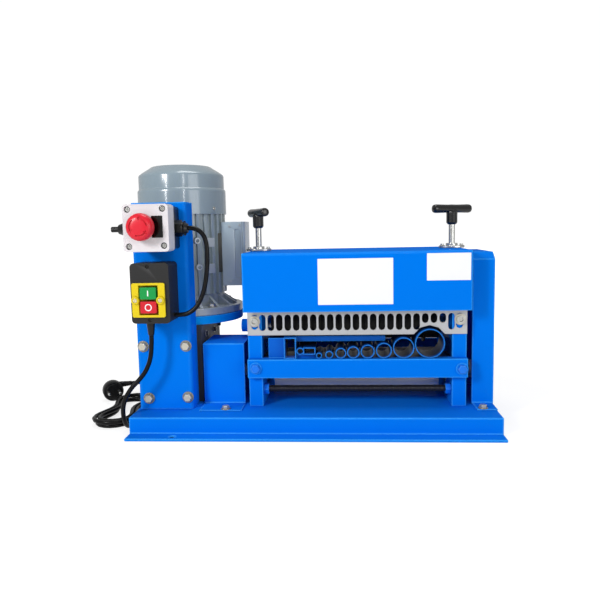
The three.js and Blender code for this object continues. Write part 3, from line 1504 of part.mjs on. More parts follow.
const plugTurnAngle = THREE.MathUtils.degToRad(plugTurn);
const bootReach = plugRadius + plugBoot + seatGap;
const bootPoint = (reach) => [
  plugX + reach * Math.cos(plugTurnAngle),
  plugY + reach * Math.sin(plugTurnAngle),
  plugRadius + seatGap + plugBootLift,
];
const tailStart = [hankEnd.x, hankEnd.y + seatGap, hankEnd.z];
const tailSecond = [hankEnd.x, hankEnd.y + seatGap + mainsDiameter, hankEnd.z];
const tailEnd = [bootPoint(bootReach + mainsDiameter), bootPoint(bootReach)];
const tailLine = [tailStart, tailSecond, ...tailRoute, ...tailEnd];
const tailLead = lead(tailLine, mainsDiameter);
addPart('plug_cord', tailLead.body, blackRubber());
const plug = addPart('mains_plug', mainsPlug(), blackRubber(), plugX, plugY, plugRadius + seatGap);
plug.rotation.z = plugTurnAngle;

// The machine stands centred over the origin, measured without the mains lead, its hank and plug
const pinEnd = stationLeft + stationBaseInset - blankHexLength - blankDomeLength - blankPinLength;
const lowX = Math.min(pinEnd, motorX - cowlRadius);
const lowY = stationFront - capUndersideGap - capHeight;
machine.position.set(-(lowX + endCoverRight) / 2, -(lowY + baseDepth / 2) / 2, 0);

const hankLength = lineLength(hank);
console.log('hank least gap', leastGap(hank, mainsDiameter, 5).toFixed(2));
console.log('lead lengths', mainsLead.length.toFixed(0), hankLength.toFixed(0), tailLead.length.toFixed(0),
  'link', linkLead.length.toFixed(0));

export default machine;
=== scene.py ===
"""Dressed model of a bench wire stripping machine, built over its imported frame.

The drawing is in millimetres: X to the operator's right along the rollers, Y away from the
operator, Z up. Every mesh is made in the drawing and then put in metres in the frame.
"""
import logging
import math
from dataclasses import dataclass, replace
from enum import Enum
from functools import cache, partialmethod
from typing import Sequence

import bmesh
import bpy
from bpy.types import ID, Material, Mesh, Node, NodeSocket, NodeTree, Object
from mathutils import Matrix, Vector


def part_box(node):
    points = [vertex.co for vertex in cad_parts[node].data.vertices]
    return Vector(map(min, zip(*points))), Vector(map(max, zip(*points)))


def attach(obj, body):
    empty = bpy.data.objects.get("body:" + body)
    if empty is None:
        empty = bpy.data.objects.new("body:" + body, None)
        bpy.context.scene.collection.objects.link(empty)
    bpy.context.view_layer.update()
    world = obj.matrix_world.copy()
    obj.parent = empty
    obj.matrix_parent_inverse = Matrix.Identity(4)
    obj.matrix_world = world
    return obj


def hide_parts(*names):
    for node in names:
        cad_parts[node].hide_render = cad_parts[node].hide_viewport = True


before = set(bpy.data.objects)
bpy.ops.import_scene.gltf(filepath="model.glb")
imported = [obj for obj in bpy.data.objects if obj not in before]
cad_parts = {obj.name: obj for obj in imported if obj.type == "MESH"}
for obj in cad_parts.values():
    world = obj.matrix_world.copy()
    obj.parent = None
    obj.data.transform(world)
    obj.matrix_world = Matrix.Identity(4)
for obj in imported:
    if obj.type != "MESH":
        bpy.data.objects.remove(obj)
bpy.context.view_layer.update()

Pair = tuple[float, float]
Point = tuple[float, float, float]
Spot = tuple[Point, Point]
Pairs = tuple[Pair, ...]
Sides = tuple[float, float, float, float]

log = logging.getLogger("machine")

TRAY_LOW, TRAY_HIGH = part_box("base_tray")
SHIFT = Vector(((TRAY_LOW.x + TRAY_HIGH.x) / 2, (TRAY_LOW.y + TRAY_HIGH.y) / 2, 0.0))
MM = 0.001  # metres in a millimetre
SHARP = 38.0  # degrees over which an edge stays sharp
LEAD_STEPS = 6  # steps of a lead from one point of its route to the next
FRONT: Point = (90, 0, 0)
BACK: Point = (-90, 0, 0)
RIGHT: Point = (0, 90, 0)
LEFT: Point = (0, -90, 0)
UP: Point = (0, 0, 0)


def placed(point: Sequence[float]) -> Vector:
    """Turns a point of the drawing into metres in the frame."""
    return Vector(point) * MM + SHIFT


def turned_at(place: Point, degrees: float) -> Matrix:
    """Gives the move that turns a shape about Z and then puts it at a place."""
    return Matrix.Translation(place) @ Matrix.Rotation(math.radians(degrees), 4, "Z")


def linear(color: Sequence[float]) -> tuple[float, ...]:
    """Turns a screen colour of 0 to 255 into light values with a full alpha."""
    return (*(c / 255 / 12.92 if c <= 10 else ((c / 255 + 0.055) / 1.055) ** 2.4 for c in color), 1.0)


def linked(name: str, data: ID) -> Object:
    """Puts a new object into the scene.

    Args:
        name: Its name.
        data: Its mesh, curve, lamp or camera.

    Returns:
        The object.
    """
    made = bpy.data.objects.new(name, data)
    bpy.context.scene.collection.objects.link(made)
    return made


def settled(holder: Object, *tools: Object) -> Mesh:
    """Takes an object out of the scene and keeps its mesh, with its modifiers applied.

    Args:
        holder: The object.
        tools: Objects that its modifiers use, which go too.

    Returns:
        The mesh.
    """
    bpy.context.view_layer.update()
    graph = bpy.context.evaluated_depsgraph_get()
    mesh = bpy.data.meshes.new_from_object(holder.evaluated_get(graph))
    for used in (holder, *tools):
        bpy.data.objects.remove(used)
    return mesh


class Body(Enum):
    """Moving groups of the machine."""

    FRAME = "machine_frame"
    DRIVE = "drive_line"
    ROTOR = "motor_rotor_line"
    CARRIAGE = "carriage"
    BLADES = "blade_rotor"
    LEFT_SCREW = "left_screw"
    RIGHT_SCREW = "right_screw"
    PLUNGER = "stop_plunger_body"
    CAP = "stop_cap_body"
    START = "start_button_body"
    STOP = "stop_button_body"


class Grain(Enum):
    """Fine relief of a surface, by its stretch along each axis."""

    SKIN = (1.0, 1.0, 1.0)
    BRUSHED = (0.04, 1.0, 1.0)


@dataclass(frozen=True)
class Finish:
    """Finish of a surface, with lengths in millimetres and colours of 0 to 255.

    Attributes:
        name: Name of its material.
        slot: Material slot of the record; not used.
        color: Its colour.
        roughness: Mean roughness.
        metallic: Share of bare metal.
        coat: Weight of the clear gloss on top.
        grain: Kind of relief.
        size: Grain of the relief.
        depth: Depth of the relief.
        mottle: Share by which the brightness wanders.
        wear: How much the edges are rubbed, and on the blue paint how strongly a painted highlight lines them.
        wear_and_highlight_color: Colour of the rubbed edges, which on the blue paint is a painted highlight.
        edge: Radius to which the light finds the edges rounded.
        shine: Strength of the plain reflection.
        dust: Amount of dust on what faces up.
        depth_shade: Depths where painted shade starts to darken the paint and where it is full.
    """

    name: str
    slot: str
    color: tuple[int, int, int]
    roughness: float
    metallic: float = 0.0
    coat: float = 0.0
    grain: Grain = Grain.SKIN
    size: float = 1.0
    depth: float = 0.02
    mottle: float = 0.05
    wear: float = 0.2
    wear_and_highlight_color: tuple[int, int, int] = (200, 205, 210)
    edge: float = 0.6
    shine: float = 0.5
    dust: float = 0.012
    depth_shade: Pair | None = None


# On the blue paint, the rubbed-edge colour is a painted highlight along bends and edges.
AZURE = Finish("azure_gloss_paint", "azure_paint", (1, 117, 229), 0.34, coat=0.035, size=2.6, depth=0.006,
               mottle=0.02, wear=3.2, wear_and_highlight_color=(64, 172, 255), edge=3.2, shine=0.0)
AZURE_INNER = replace(AZURE, name="azure_paint_in_shade", color=(1, 74, 160), roughness=0.5, coat=0.0,
                      mottle=0.03, wear=2.2, wear_and_highlight_color=(36, 150, 255), edge=1.8)
# Darker copies of the blue paint for the tubes and the feed guide are painted shade, and they darken further inside
# the channels as painted shade.
TUBE = replace(AZURE, name="azure_paint_on_tubes", color=(1, 100, 212), roughness=0.4, coat=0.02, wear=1.6,
               edge=1.6, shine=0.1, depth_shade=(-91.0, -76.0))
GUIDE = replace(TUBE, name="azure_paint_on_guide", color=(1, 96, 200), depth_shade=(-75.0, -66.0))
# A lighter copy of the blue paint for the adapter ring, as painted light.
AZURE_RING = replace(AZURE, name="azure_paint_on_adapter", color=(3, 156, 246), roughness=0.3, coat=0.05,
                     wear=1.5, wear_and_highlight_color=(110, 200, 255), edge=1.8)
AZURE_BOLT = Finish("azure_painted_steel", "azure_paint", (6, 116, 228), 0.3, coat=0.06, size=1.2, depth=0.01,
                    wear=0.9, wear_and_highlight_color=(120, 195, 255), edge=0.9, shine=0.25)
MOTOR_GREY = Finish("motor_grey_enamel", "motor_grey_paint", (134, 151, 161), 0.2, coat=0.6, size=2.6,
                    depth=0.002, mottle=0.03, wear=0.5, wear_and_highlight_color=(215, 225, 230), edge=1.2, shine=0.4)
BOX_GREY = replace(MOTOR_GREY, name="terminal_box_enamel", color=(172, 190, 200), depth=0.01, mottle=0.02,
                   wear_and_highlight_color=(196, 204, 208), shine=0.5)
FINNED = replace(MOTOR_GREY, name="finned_grey_enamel", color=(156, 169, 172), roughness=0.22, coat=0.5, size=1.6,
                 depth=0.015, mottle=0.05, wear=0.6, wear_and_highlight_color=(195, 206, 212), edge=0.9)
SHADE_GREY = replace(MOTOR_GREY, name="lower_bell_enamel", color=(162, 171, 174), roughness=0.28, coat=0.35,
                     size=1.6, depth=0.02, mottle=0.06, wear_and_highlight_color=(200, 210, 216), edge=1.0)
# A lighter copy of the frame enamel for the pads and small screws, as painted light.
PAD = replace(FINNED, name="machined_pad_enamel", color=(184, 192, 194), roughness=0.24, coat=0.4, depth=0.01,
              mottle=0.04, wear_and_highlight_color=(225, 232, 236), edge=0.8)
CAST = Finish("dark_cast_housing", "gearbox_cast", (48, 54, 62), 0.6, 0.15, size=1.6, depth=0.12, mottle=0.2,
              wear=0.3, wear_and_highlight_color=(110, 116, 124))
SATIN = Finish("brushed_sight_plate", "satin_plate", (182, 183, 184), 0.46, 0.35, grain=Grain.BRUSHED,
               size=0.5, depth=0.006, mottle=0.03, edge=0.3)
BRIGHT = Finish("bright_steel", "bright_steel", (190, 190, 186), 0.24, 0.95, size=0.8, depth=0.004, edge=0.4)
ZINC = Finish("zinc_plated_bolt", "bright_steel", (196, 192, 178), 0.36, 0.7, size=0.9, depth=0.01, mottle=0.1,
              wear=0.6, wear_and_highlight_color=(228, 228, 222), edge=0.7)
# A darker copy of the zinc for washers, as painted shade under the bolt heads.
WASHER = replace(ZINC, name="dull_washer", color=(138, 136, 128), roughness=0.4, metallic=0.6,
                 wear_and_highlight_color=(205, 205, 200), edge=0.5)
BRASS = Finish("brassy_screw", "bronze", (226, 216, 176), 0.3, 0.6, size=0.8, wear=0.4, wear_and_highlight_color=(240, 226, 170))
BRONZE = Finish("gear_bronze", "bronze", (196, 150, 78), 0.36, 0.9, size=0.8)
# The roller's colour is lifted near white as painted light, so its shaded band under the beam reads lit.
BANDS = Finish("smooth_roller_bands", "dark_steel", (232, 220, 208), 0.6, grain=Grain.BRUSHED, size=0.7,
               depth=0.006, mottle=0.06, wear=0.1, edge=0.4, shine=0.0)
DARK_STEEL = Finish("oiled_steel", "dark_steel", (70, 72, 76), 0.4, 0.7, size=0.9, depth=0.012, mottle=0.12)
KNURL = Finish("knurled_disc_edges", "dark_steel", (52, 52, 51), 0.55, 0.1, size=0.7, depth=0.05,
               mottle=0.25, wear=0.6, wear_and_highlight_color=(84, 84, 84), shine=0.1)
THREAD = Finish("black_threaded_rod", "dark_steel", (44, 44, 50), 0.34, 0.5, size=0.7, mottle=0.1, wear=0.5,
                wear_and_highlight_color=(84, 86, 92), edge=0.2, shine=0.3)
BLACK = Finish("black_moulding", "black_plastic", (9, 9, 10), 0.34, size=0.45, depth=0.006, wear=0.25,
               wear_and_highlight_color=(50, 50, 54), edge=0.5, shine=0.35)
CHARCOAL = replace(BLACK, name="charcoal_moulding", color=(33, 33, 33), roughness=0.5, depth=0.03, wear=0.3,
                   wear_and_highlight_color=(92, 92, 92), edge=0.8, shine=0.25)
HANDLE = Finish("gloss_handle", "black_plastic", (8, 8, 9), 0.2, coat=0.4, size=1.2, depth=0.01, wear=0.1,
                wear_and_highlight_color=(60, 60, 64), edge=0.8, shine=0.35)
LID = Finish("pale_grey_moulding", "white_plastic", (216, 213, 216), 0.42, size=0.5, depth=0.01, mottle=0.02,
             wear=0.3, wear_and_highlight_color=(245, 245, 250), edge=1.2, shine=0.35)
RED = Finish("red_moulding", "red_plastic", (213, 26, 46), 0.32, coat=0.12, size=0.6, depth=0.0015, mottle=0.02,
             wear=0.0, edge=0.8, shine=0.3)
RED_KEY = replace(RED, name="red_key_moulding", color=(204, 22, 38), roughness=0.3, coat=0.15, depth=0.005,
                  wear=0.4, wear_and_highlight_color=(245, 130, 140), edge=0.7)
GREEN = replace(RED_KEY, name="green_moulding", slot="green_plastic", color=(2, 148, 66), coat=0.12,
                wear_and_highlight_color=(120, 215, 150))
YELLOW = replace(RED, name="yellow_moulding", slot="yellow_plastic", color=(222, 197, 4), roughness=0.34,
                 coat=0.1, size=0.5, depth=0.006, wear=0.3, wear_and_highlight_color=(252, 242, 120))
MARK = Finish("white_filled_mark", "white_plastic", (240, 240, 240), 0.5, mottle=0.0, wear=0.0, edge=0.1)
PLATE = Finish("bare_white_plate", "white_plastic", (240, 241, 243), 0.34, size=0.6, depth=0.003, mottle=0.01,
               wear=0.0, edge=0.2, shine=0.3)
LEGEND = Finish("bare_black_plate", "black_plastic", (5, 5, 5), 0.2, coat=0.25, size=0.6, depth=0.003, wear=0.0,
                edge=0.1, shine=0.3)
NAMEPLATE = Finish("bare_dark_plate", "satin_plate", (92, 86, 72), 0.35, 0.5, size=0.6, depth=0.003, wear=0.3,
                   edge=0.2)
SHEATH = Finish("lead_sheath", "black_sheath", (6, 6, 7), 0.3, size=0.6, depth=0.006, wear=0.0, edge=0.2,
                shine=0.18)
PLUG = Finish("plug_moulding", "black_sheath", (8, 8, 9), 0.36, size=0.5, depth=0.02, edge=0.4, shine=0.25)


class Socket(Enum):
    """Kinds of socket on a node group."""

    COLOR = "NodeSocketColor"
    VALUE = "NodeSocketFloat"
    VECTOR = "NodeSocketVector"
    GEOMETRY = "NodeSocketGeometry"
    MATERIAL = "NodeSocketMaterial"
    OBJECT = "NodeSocketObject"


class Kind(Enum):
    """Kinds of node group."""

    SHADER = "ShaderNodeTree"
    GEOMETRY = "GeometryNodeTree"


class Tree:
    """Short way to write a node tree."""

    def __init__(self, tree: NodeTree) -> None:
        """Keeps the tree of a material, a world or a node group."""
        self.tree = tree

    @classmethod
    def group(cls, name: str, kind: Kind, inputs: dict[str, Socket], outputs: dict[str, Socket]) -> "Tree":
        """Makes a node group.

        Args:
            name: Name of the group.
            kind: Kind of group.
            inputs: Named inputs.
            outputs: Named outputs.

        Returns:
            The group's tree, with its input and output nodes in place.
        """
        made = cls(bpy.data.node_groups.new(name, kind.value))
        for side, sockets in (("INPUT", inputs), ("OUTPUT", outputs)):
            for label, socket in sockets.items():
                made.tree.interface.new_socket(name=label, in_out=side, socket_type=socket.value)
        made.source = made.node("NodeGroupInput").outputs
        made.sink = made.node("NodeGroupOutput").inputs
        return made

    def node(self, kind: str, **links: object) -> Node:
        """Adds a node.

        Args:
            kind: Blender's name of the node.
            links: Settings in lower case, and inputs as in0, in1 or in_Name.

        Returns:
            The node.
        """
        made = self.tree.nodes.new(kind)
        for key, value in sorted(links.items(), key=lambda link: link[0].startswith("in")):
            if key.startswith("in"):
                label = key[2:].lstrip("_").replace("_", " ")
                self.feed(made.inputs[int(label) if label.isdigit() else label], value)
            else:
                setattr(made, key, value)
        return made

    def use(self, group: "Tree", **values: object) -> Node:
        """Adds a shader group with values for its named inputs."""
        return self.node("ShaderNodeGroup", node_tree=group.tree, **{f"in_{key}": values[key] for key in values})

    def feed(self, socket: NodeSocket, value: object) -> None:
        """Links a socket to an output, or sets its value.

        Args:
            socket: Input to feed.
            value: An output or a constant.
        """
        if isinstance(value, NodeSocket):
            self.tree.links.new(value, socket)
        else:
            socket.default_value = value

    def math(self, operation: str, a: object, b: object = 0.0, clamp: bool = False) -> NodeSocket:
        """Does a sum on values and gives its output."""
        return self.node("ShaderNodeMath", operation=operation, use_clamp=clamp, in0=a, in1=b).outputs[0]

    times, plus = partialmethod(math, "MULTIPLY"), partialmethod(math, "ADD")
    less, over = partialmethod(math, "SUBTRACT"), partialmethod(math, "DIVIDE")

    def noise(self, place: object, scale: object, detail: float) -> NodeSocket:
        """Adds an even noise and gives its value."""
        return self.node("ShaderNodeTexNoise", in_Vector=place, in_Scale=scale, in_Detail=detail).outputs[0]

    def mixed(self, share: object, a: object, b: object, blend: str = "MIX") -> NodeSocket:
        """Mixes two colours, at inputs 6 and 7, and gives the result."""
        return self.node("ShaderNodeMix", data_type="RGBA", blend_type=blend, in0=share, in6=a, in7=b).outputs[2]

    def dressed(self, geometry: Node, material: NodeSocket) -> None:
        """Ends a geometry tree by making its instances real and giving them a material.

        Args:
            geometry: Node whose geometry is dressed.
            material: Output that gives the material.
        """
        real = self.node("GeometryNodeRealizeInstances", in0=geometry.outputs[0]).outputs[0]
        made = self.node("GeometryNodeSetMaterial", in_Geometry=real, in_Material=material)
        self.feed(self.sink[0], made.outputs[0])


class Paintshop:
    """Makes each finish once, from shared groups for skin, edges that are worn or carry a painted highlight, dust,
    and painted shade in depth.
    """

    # Scales are in waves a metre.
    DRIFT_SCALE, WEAR_SCALE, DUST_SCALE, DIRT_SCALE = 14.0, 60.0, 22.0, 90.0
    # The second colour is the dark blue of painted shade deep in the feed channels.
    DUST_COLOR, DIRT_COLOR = (190, 190, 188), (4, 14, 30)
    COAT_ROUGHNESS, BUMP_STRENGTH = 0.12, 0.5

    def __init__(self) -> None:
        """Builds the shared groups."""
        self.skin, self.edges, self.dust, self.depth_shade = self._skin(), self._edges(), self._dust(), self._depth_shade_group()

    def _skin(self) -> Tree:
        """Makes the group for the brightness, roughness and relief of a skin.

        Returns:
            The group.
        """
        tree = Tree.group("even_skin", Kind.SHADER,
                          {"Place": Socket.VECTOR, "Color": Socket.COLOR, "Mottle": Socket.VALUE,
                           "Grain": Socket.VALUE, "Roughness": Socket.VALUE},
                          {"Color": Socket.COLOR, "Roughness": Socket.VALUE, "Height": Socket.VALUE})
        place, color, mottle, grain, rough = (tree.source[i] for i in range(5))
        broad = tree.noise(place, self.DRIFT_SCALE, 4.0)
        small = tree.noise(place, tree.times(grain, 0.22), 3.0)
        fine = tree.noise(place, grain, 2.0)
        drift = tree.less(tree.plus(broad, small), 1.0)
        level = tree.plus(1.0, tree.times(drift, mottle))
        grey = tree.node("ShaderNodeCombineColor", in0=level, in1=level, in2=level).outputs[0]
        tree.feed(tree.sink[0], tree.mixed(1.0, color, grey, "MULTIPLY"))
        spread = tree.times(tree.less(small, 0.5), 0.1)
        tree.feed(tree.sink[1], tree.plus(rough, spread, clamp=True))
        tree.feed(tree.sink[2], tree.plus(fine, tree.times(small, 0.5)))
        return tree

    def _edges(self) -> Tree:
        """Makes the group that rounds edges in the light and finds the edges that are rubbed and, on the blue paint,
        lined with a painted highlight.

        Returns:
            The group.
        """
        tree = Tree.group("rubbed_edges", Kind.SHADER,
                          {"Place": Socket.VECTOR, "Radius": Socket.VALUE, "Wear": Socket.VALUE},
                          {"Mask": Socket.VALUE, "Normal": Socket.VECTOR})
        soft = tree.node("ShaderNodeBevel", samples=4, in_Radius=tree.source[1]).outputs[0]
        side = tree.node("ShaderNodeNewGeometry").outputs["Normal"]
        lean = tree.node("ShaderNodeVectorMath", operation="DOT_PRODUCT", in0=soft, in1=side)
        turn = tree.less(1.0, lean.outputs["Value"], clamp=True)
        cloud = tree.times(tree.noise(tree.source[0], self.WEAR_SCALE, 4.0), 5.0)
        patchy = tree.times(turn, tree.plus(cloud, 3.0))
        tree.feed(tree.sink[0], tree.times(patchy, tree.source[2], clamp=True))
        tree.feed(tree.sink[1], soft)
        return tree

    def _dust(self) -> Tree:
        """Makes the group for a thin film of dust on what faces up.

        Returns:
            The group.
        """
        tree = Tree.group("settled_dust", Kind.SHADER,
                          {"Place": Socket.VECTOR, "Amount": Socket.VALUE}, {"Mask": Socket.VALUE})
        side = tree.node("ShaderNodeNewGeometry").outputs["Normal"]
        up = tree.node("ShaderNodeSeparateXYZ", in0=side).outputs[2]
        flat = tree.times(tree.less(up, 0.6, clamp=True), 2.4, clamp=True)
        cloud = tree.times(flat, tree.noise(tree.source[0], self.DUST_SCALE, 5.0))
        tree.feed(tree.sink[0], tree.times(cloud, tree.source[1], clamp=True))
        return tree

    def _depth_shade_group(self) -> Tree:
        """Makes the group for painted shade that darkens a channel with its depth.

        Returns:
            The group.
        """
        tree = Tree.group("soot_in_depth", Kind.SHADER,
                          {"Place": Socket.VECTOR, "Start": Socket.VALUE, "Reach": Socket.VALUE},
                          {"Mask": Socket.VALUE})
        place, start, reach = (tree.source[i] for i in range(3))
        depth = tree.node("ShaderNodeSeparateXYZ", in0=place).outputs[1]
        share = tree.over(tree.less(depth, start), reach, clamp=True)
        cloud = tree.plus(0.8, tree.times(tree.noise(place, self.DIRT_SCALE, 3.0), 0.3))
        tree.feed(tree.sink[0], tree.times(share, cloud, clamp=True))
        return tree

    @cache
    def material(self, finish: Finish) -> Material:
        """Builds the nodes of a finish at its first use.

        Args:
            finish: The finish.

        Returns:
            Its material.
        """
        material = bpy.data.materials.new(finish.name)
        material.use_nodes = True
        tree = Tree(material.node_tree)
        place = tree.node("ShaderNodeTexCoord").outputs["Object"]
        if finish.grain is not Grain.SKIN:
            place = tree.node("ShaderNodeMapping", in_Vector=place, in_Scale=finish.grain.value).outputs[0]
        skin = tree.use(self.skin, Place=place, Color=linear(finish.color), Mottle=finish.mottle,
                        Grain=1 / (finish.size * MM), Roughness=finish.roughness).outputs
        edges = tree.use(self.edges, Place=place, Radius=finish.edge * MM, Wear=finish.wear).outputs
        dust = tree.use(self.dust, Place=place, Amount=finish.dust).outputs
        # Rubbed edges, which on the blue paint carry a painted highlight.
        color = tree.mixed(edges["Mask"], skin["Color"], linear(finish.wear_and_highlight_color))
        color = tree.mixed(dust["Mask"], color, linear(self.DUST_COLOR))
        # Painted shade: the paint darkens towards the back of the feed channels.
        if finish.depth_shade is not None:
            start, full = (placed((0.0, depth, 0.0)).y for depth in finish.depth_shade)
            depth_shade = tree.use(self.depth_shade, Place=place, Start=start, Reach=full - start).outputs
            color = tree.mixed(depth_shade["Mask"], color, linear(self.DIRT_COLOR))
        bump = tree.node("ShaderNodeBump", in_Strength=self.BUMP_STRENGTH, in_Distance=finish.depth * MM,
                         in_Height=skin["Height"], in_Normal=edges["Normal"]).outputs[0]
        shader = tree.tree.nodes["Principled BSDF"]
        for label, value in (("Base Color", color), ("Roughness", skin["Roughness"]), ("Normal", bump),
                             ("Metallic", finish.metallic), ("Coat Weight", finish.coat),
                             ("Coat Roughness", self.COAT_ROUGHNESS), ("Specular IOR Level", finish.shine)):
            tree.feed(shader.inputs[label], value)
        return material


def around(u: float, v: float, radius: float, degrees: float) -> Pair:
    """Gives the place at a radius and an angle round a middle."""
    return (u + radius * math.cos(math.radians(degrees)), v + radius * math.sin(math.radians(degrees)))


def circle(u: float, v: float, radius: float, sides: int) -> list[Pair]:
    """Outlines a circle, or a regular form with few sides."""
    return [around(u, v, radius, 360 * i / sides) for i in range(sides)]


def rounded(u0: float, u1: float, v0: float, v1: float, corner: float, steps: int = 6) -> list[Pair]:
    """Outlines a rectangle with round corners.

    Args:
        u0: Lowest value across.
        u1: Highest value across.
        v0: Lowest value up.
        v1: Highest value up.
        corner: Corner radius.
        steps: Steps of a corner.

    Returns:
        The outline, counter-clockwise.
    """
    centres = ((u1 - corner, v0 + corner, -90), (u1 - corner, v1 - corner, 0),
               (u0 + corner, v1 - corner, 90), (u0 + corner, v0 + corner, 180))
    return [around(u, v, corner, start + 90 * step / steps) for u, v, start in centres for step in range(steps + 1)]


def on_face(pairs: Sequence[Pair], y: float, facing: Point = FRONT) -> list[Spot]:
    """Sets pairs of X and Z on a face across Y, with the way that their heads face."""
    return [((x, y, z), facing) for x, z in pairs]


class Axis(Enum):
    """Axis of a shape, as the order of the values across, up and along in a point."""

    X = (2, 0, 1)
    Y = (0, 2, 1)
    Z = (0, 1, 2)

    def lay(self, across: float, up: float, along: float) -> Vector:
        """Gives a point of a shape about this axis."""
        return Vector([(across, up, along)[i] for i in self.value])


class Shape:
    """A mesh in the making, in millimetres of the drawing."""

    def __init__(self) -> None:
        """Starts empty."""
        self.mesh = bmesh.new()

    def turned(self, profile: Sequence[Pair], axis: Axis, centre: Point = (0, 0, 0), sides: int = 48) -> "Shape":
        """Adds a body of revolution.

        Args:
            profile: Radius and height pairs, from axis to axis, or closed when the last is the first.
            axis: Its axis.
            centre: Where the height is zero.
            sides: Number of sides.

        Returns:
            This shape.
        """
        closed = tuple(profile[0]) == tuple(profile[-1]) and profile[0][0] > 0
        rings = []
        for radius, height in (profile[:-1] if closed else profile):
            rings.append([self.mesh.verts.new(axis.lay(u, v, height) + Vector(centre))
                          for u, v in circle(0, 0, radius, sides if radius > 1e-6 else 1)])
        if closed:
            rings.append(rings[0])
        for a, b in zip(rings, rings[1:]):
            for i in range(sides):
                j = (i + 1) % sides
                corners = [a[0]] if len(a) == 1 else [a[i], a[j]]
                corners += [b[0]] if len(b) == 1 else [b[j], b[i]]
                if len(corners) > 2:
                    self.mesh.faces.new(corners)
        return self

    def rod(self, radius: float, start: float, end: float, axis: Axis, centre: Point, sides: int) -> "Shape":
        """Adds a plain round or many sided bar."""
        return self.turned([(0, start), (radius, start), (radius, end), (0, end)], axis, centre, sides)

    def slab(self, loops: Sequence[Sequence[Pair]], axis: Axis, start: float, end: float) -> "Shape":
        """Adds an outline pushed along an axis, with holes.

        Args:
            loops: The outline and then its holes.
            axis: The axis.
            start: Where it starts along the axis.
            end: Where it ends.

        Returns:
            This shape.
        """
        caps: tuple[list, list] = ([], [])
        for loop in loops:
            rows = [[self.mesh.verts.new(axis.lay(u, v, h)) for u, v in loop] for h in (start, end)]
            sides = [(i, (i + 1) % len(loop)) for i in range(len(loop))]
            for i, j in sides:
                self.mesh.faces.new((rows[0][i], rows[0][j], rows[1][j], rows[1][i]))
            for row, edges in zip(rows, caps):
                edges.extend(self.mesh.edges.get((row[i], row[j])) for i, j in sides)
        for row, edges in zip(rows, caps):
            if len(loops) == 1:
                self.mesh.faces.new(row)
            else:
                bmesh.ops.triangle_fill(self.mesh, use_beauty=True, edges=edges)
        return self

    def moved(self, matrix: Matrix) -> "Shape":
        """Moves all that is there so far."""
        bmesh.ops.transform(self.mesh, matrix=matrix, verts=self.mesh.verts)
        return self

    def add(self, other: "Shape", matrix: Matrix) -> "Shape":
        """Takes in another shape.

        Args:
            other: The other shape.
            matrix: How it is moved.

        Returns:
            This shape.
        """
        spare = bpy.data.meshes.new("spare")
        other.moved(matrix).mesh.to_mesh(spare)
        self.mesh.from_mesh(spare)
        bpy.data.meshes.remove(spare)
        return self

    def data(self, name: str) -> Mesh:
        """Gives the finished mesh and lets the shape go.

        Args:
            name: Name of the mesh.

        Returns:
            The mesh, closed, facing out and in metres in the frame.
        """
        bmesh.ops.remove_doubles(self.mesh, verts=self.mesh.verts, dist=0.0005)
        bmesh.ops.recalc_face_normals(self.mesh, faces=self.mesh.faces)
        mesh = bpy.data.meshes.new(name)
        self.mesh.to_mesh(mesh)
        self.mesh.free()
        mesh.transform(Matrix.Translation(SHIFT) @ Matrix.Scale(MM, 4))
        return mesh


class Bench:
    """Turns shapes and nodes of the frame into dressed pieces."""

    def __init__(self) -> None:
        """Opens the paintshop."""
        self.paint = Paintshop()
        self.count = 0

    def piece(self, name: str, shape: Shape | Mesh, finish: Finish, body: Body = Body.FRAME,
              nodes: Sequence[str] = (), bevel: float = 0.0, angle: float = SHARP) -> Object:
        """Makes a piece of the machine.

        Args:
            name: Name of the piece.
            shape: Its shape in the drawing, or its mesh in the frame.
            finish: Its finish.
            body: The moving group it rides on.
            nodes: Nodes of the frame that it stands for.
            bevel: Radius of its edges in millimetres.
            angle: Angle in degrees over which an edge stays sharp.

        Returns:
            The piece.
        """
        mesh = shape.data(name) if isinstance(shape, Shape) else shape
        mesh.name = name
        made = linked(name, mesh)
        mesh.materials.clear()
        mesh.materials.append(self.paint.material(finish))
        mesh.shade_smooth()
        mesh.set_sharp_from_angle(angle=math.radians(angle))
        if bevel:
            soft = made.modifiers.new("edges", "BEVEL")
            soft.width = bevel * MM
            soft.segments = 2
            soft.limit_method = "ANGLE"
            soft.angle_limit = math.radians(angle)
            soft.use_clamp_overlap = True
            soft.harden_normals = True
        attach(made, body.value)
        if nodes:
            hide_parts(*nodes)
        self.count += 1
        log.info("%s: %d faces on %s", name, len(mesh.polygons), body.value)
        return made

    def refined(self, node: str, finish: Finish, bevel: float, body: Body = Body.FRAME,
                holes: Shape | None = None) -> None:
        """Replaces a node with a merged copy of its own shape that has round edges.

        Args:
            node: Name of the node.
            finish: Finish of the piece.
            bevel: Radius of its edges in millimetres.
            body: The moving group it rides on.
            holes: What is cut out of the copy.
        """
        work = bmesh.new()
        work.from_mesh(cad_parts[node].data)
        bmesh.ops.remove_doubles(work, verts=work.verts, dist=1e-6)
        bmesh.ops.dissolve_limit(work, angle_limit=math.radians(0.5), verts=work.verts, edges=work.edges)
        mesh = bpy.data.meshes.new(node + "_dressed")
        work.to_mesh(mesh)
        work.free()
        if holes is not None:
            mesh = self.cut(mesh, holes)
        self.piece(node + "_dressed", mesh, finish, body, (node,), bevel)

    @staticmethod
    def cut(mesh: Mesh, holes: Shape) -> Mesh:
        """Cuts a shape out of a mesh.

        Args:
            mesh: The mesh, in the frame.
            holes: The shape.

        Returns:
            What is left.
        """
        stock, tool = linked("stock", mesh), linked("cutter", holes.data("cutter"))
        cutter = stock.modifiers.new("cut", "BOOLEAN")
        cutter.operation = "DIFFERENCE"
        cutter.solver = "EXACT"
        cutter.object = tool
        return settled(stock, tool)


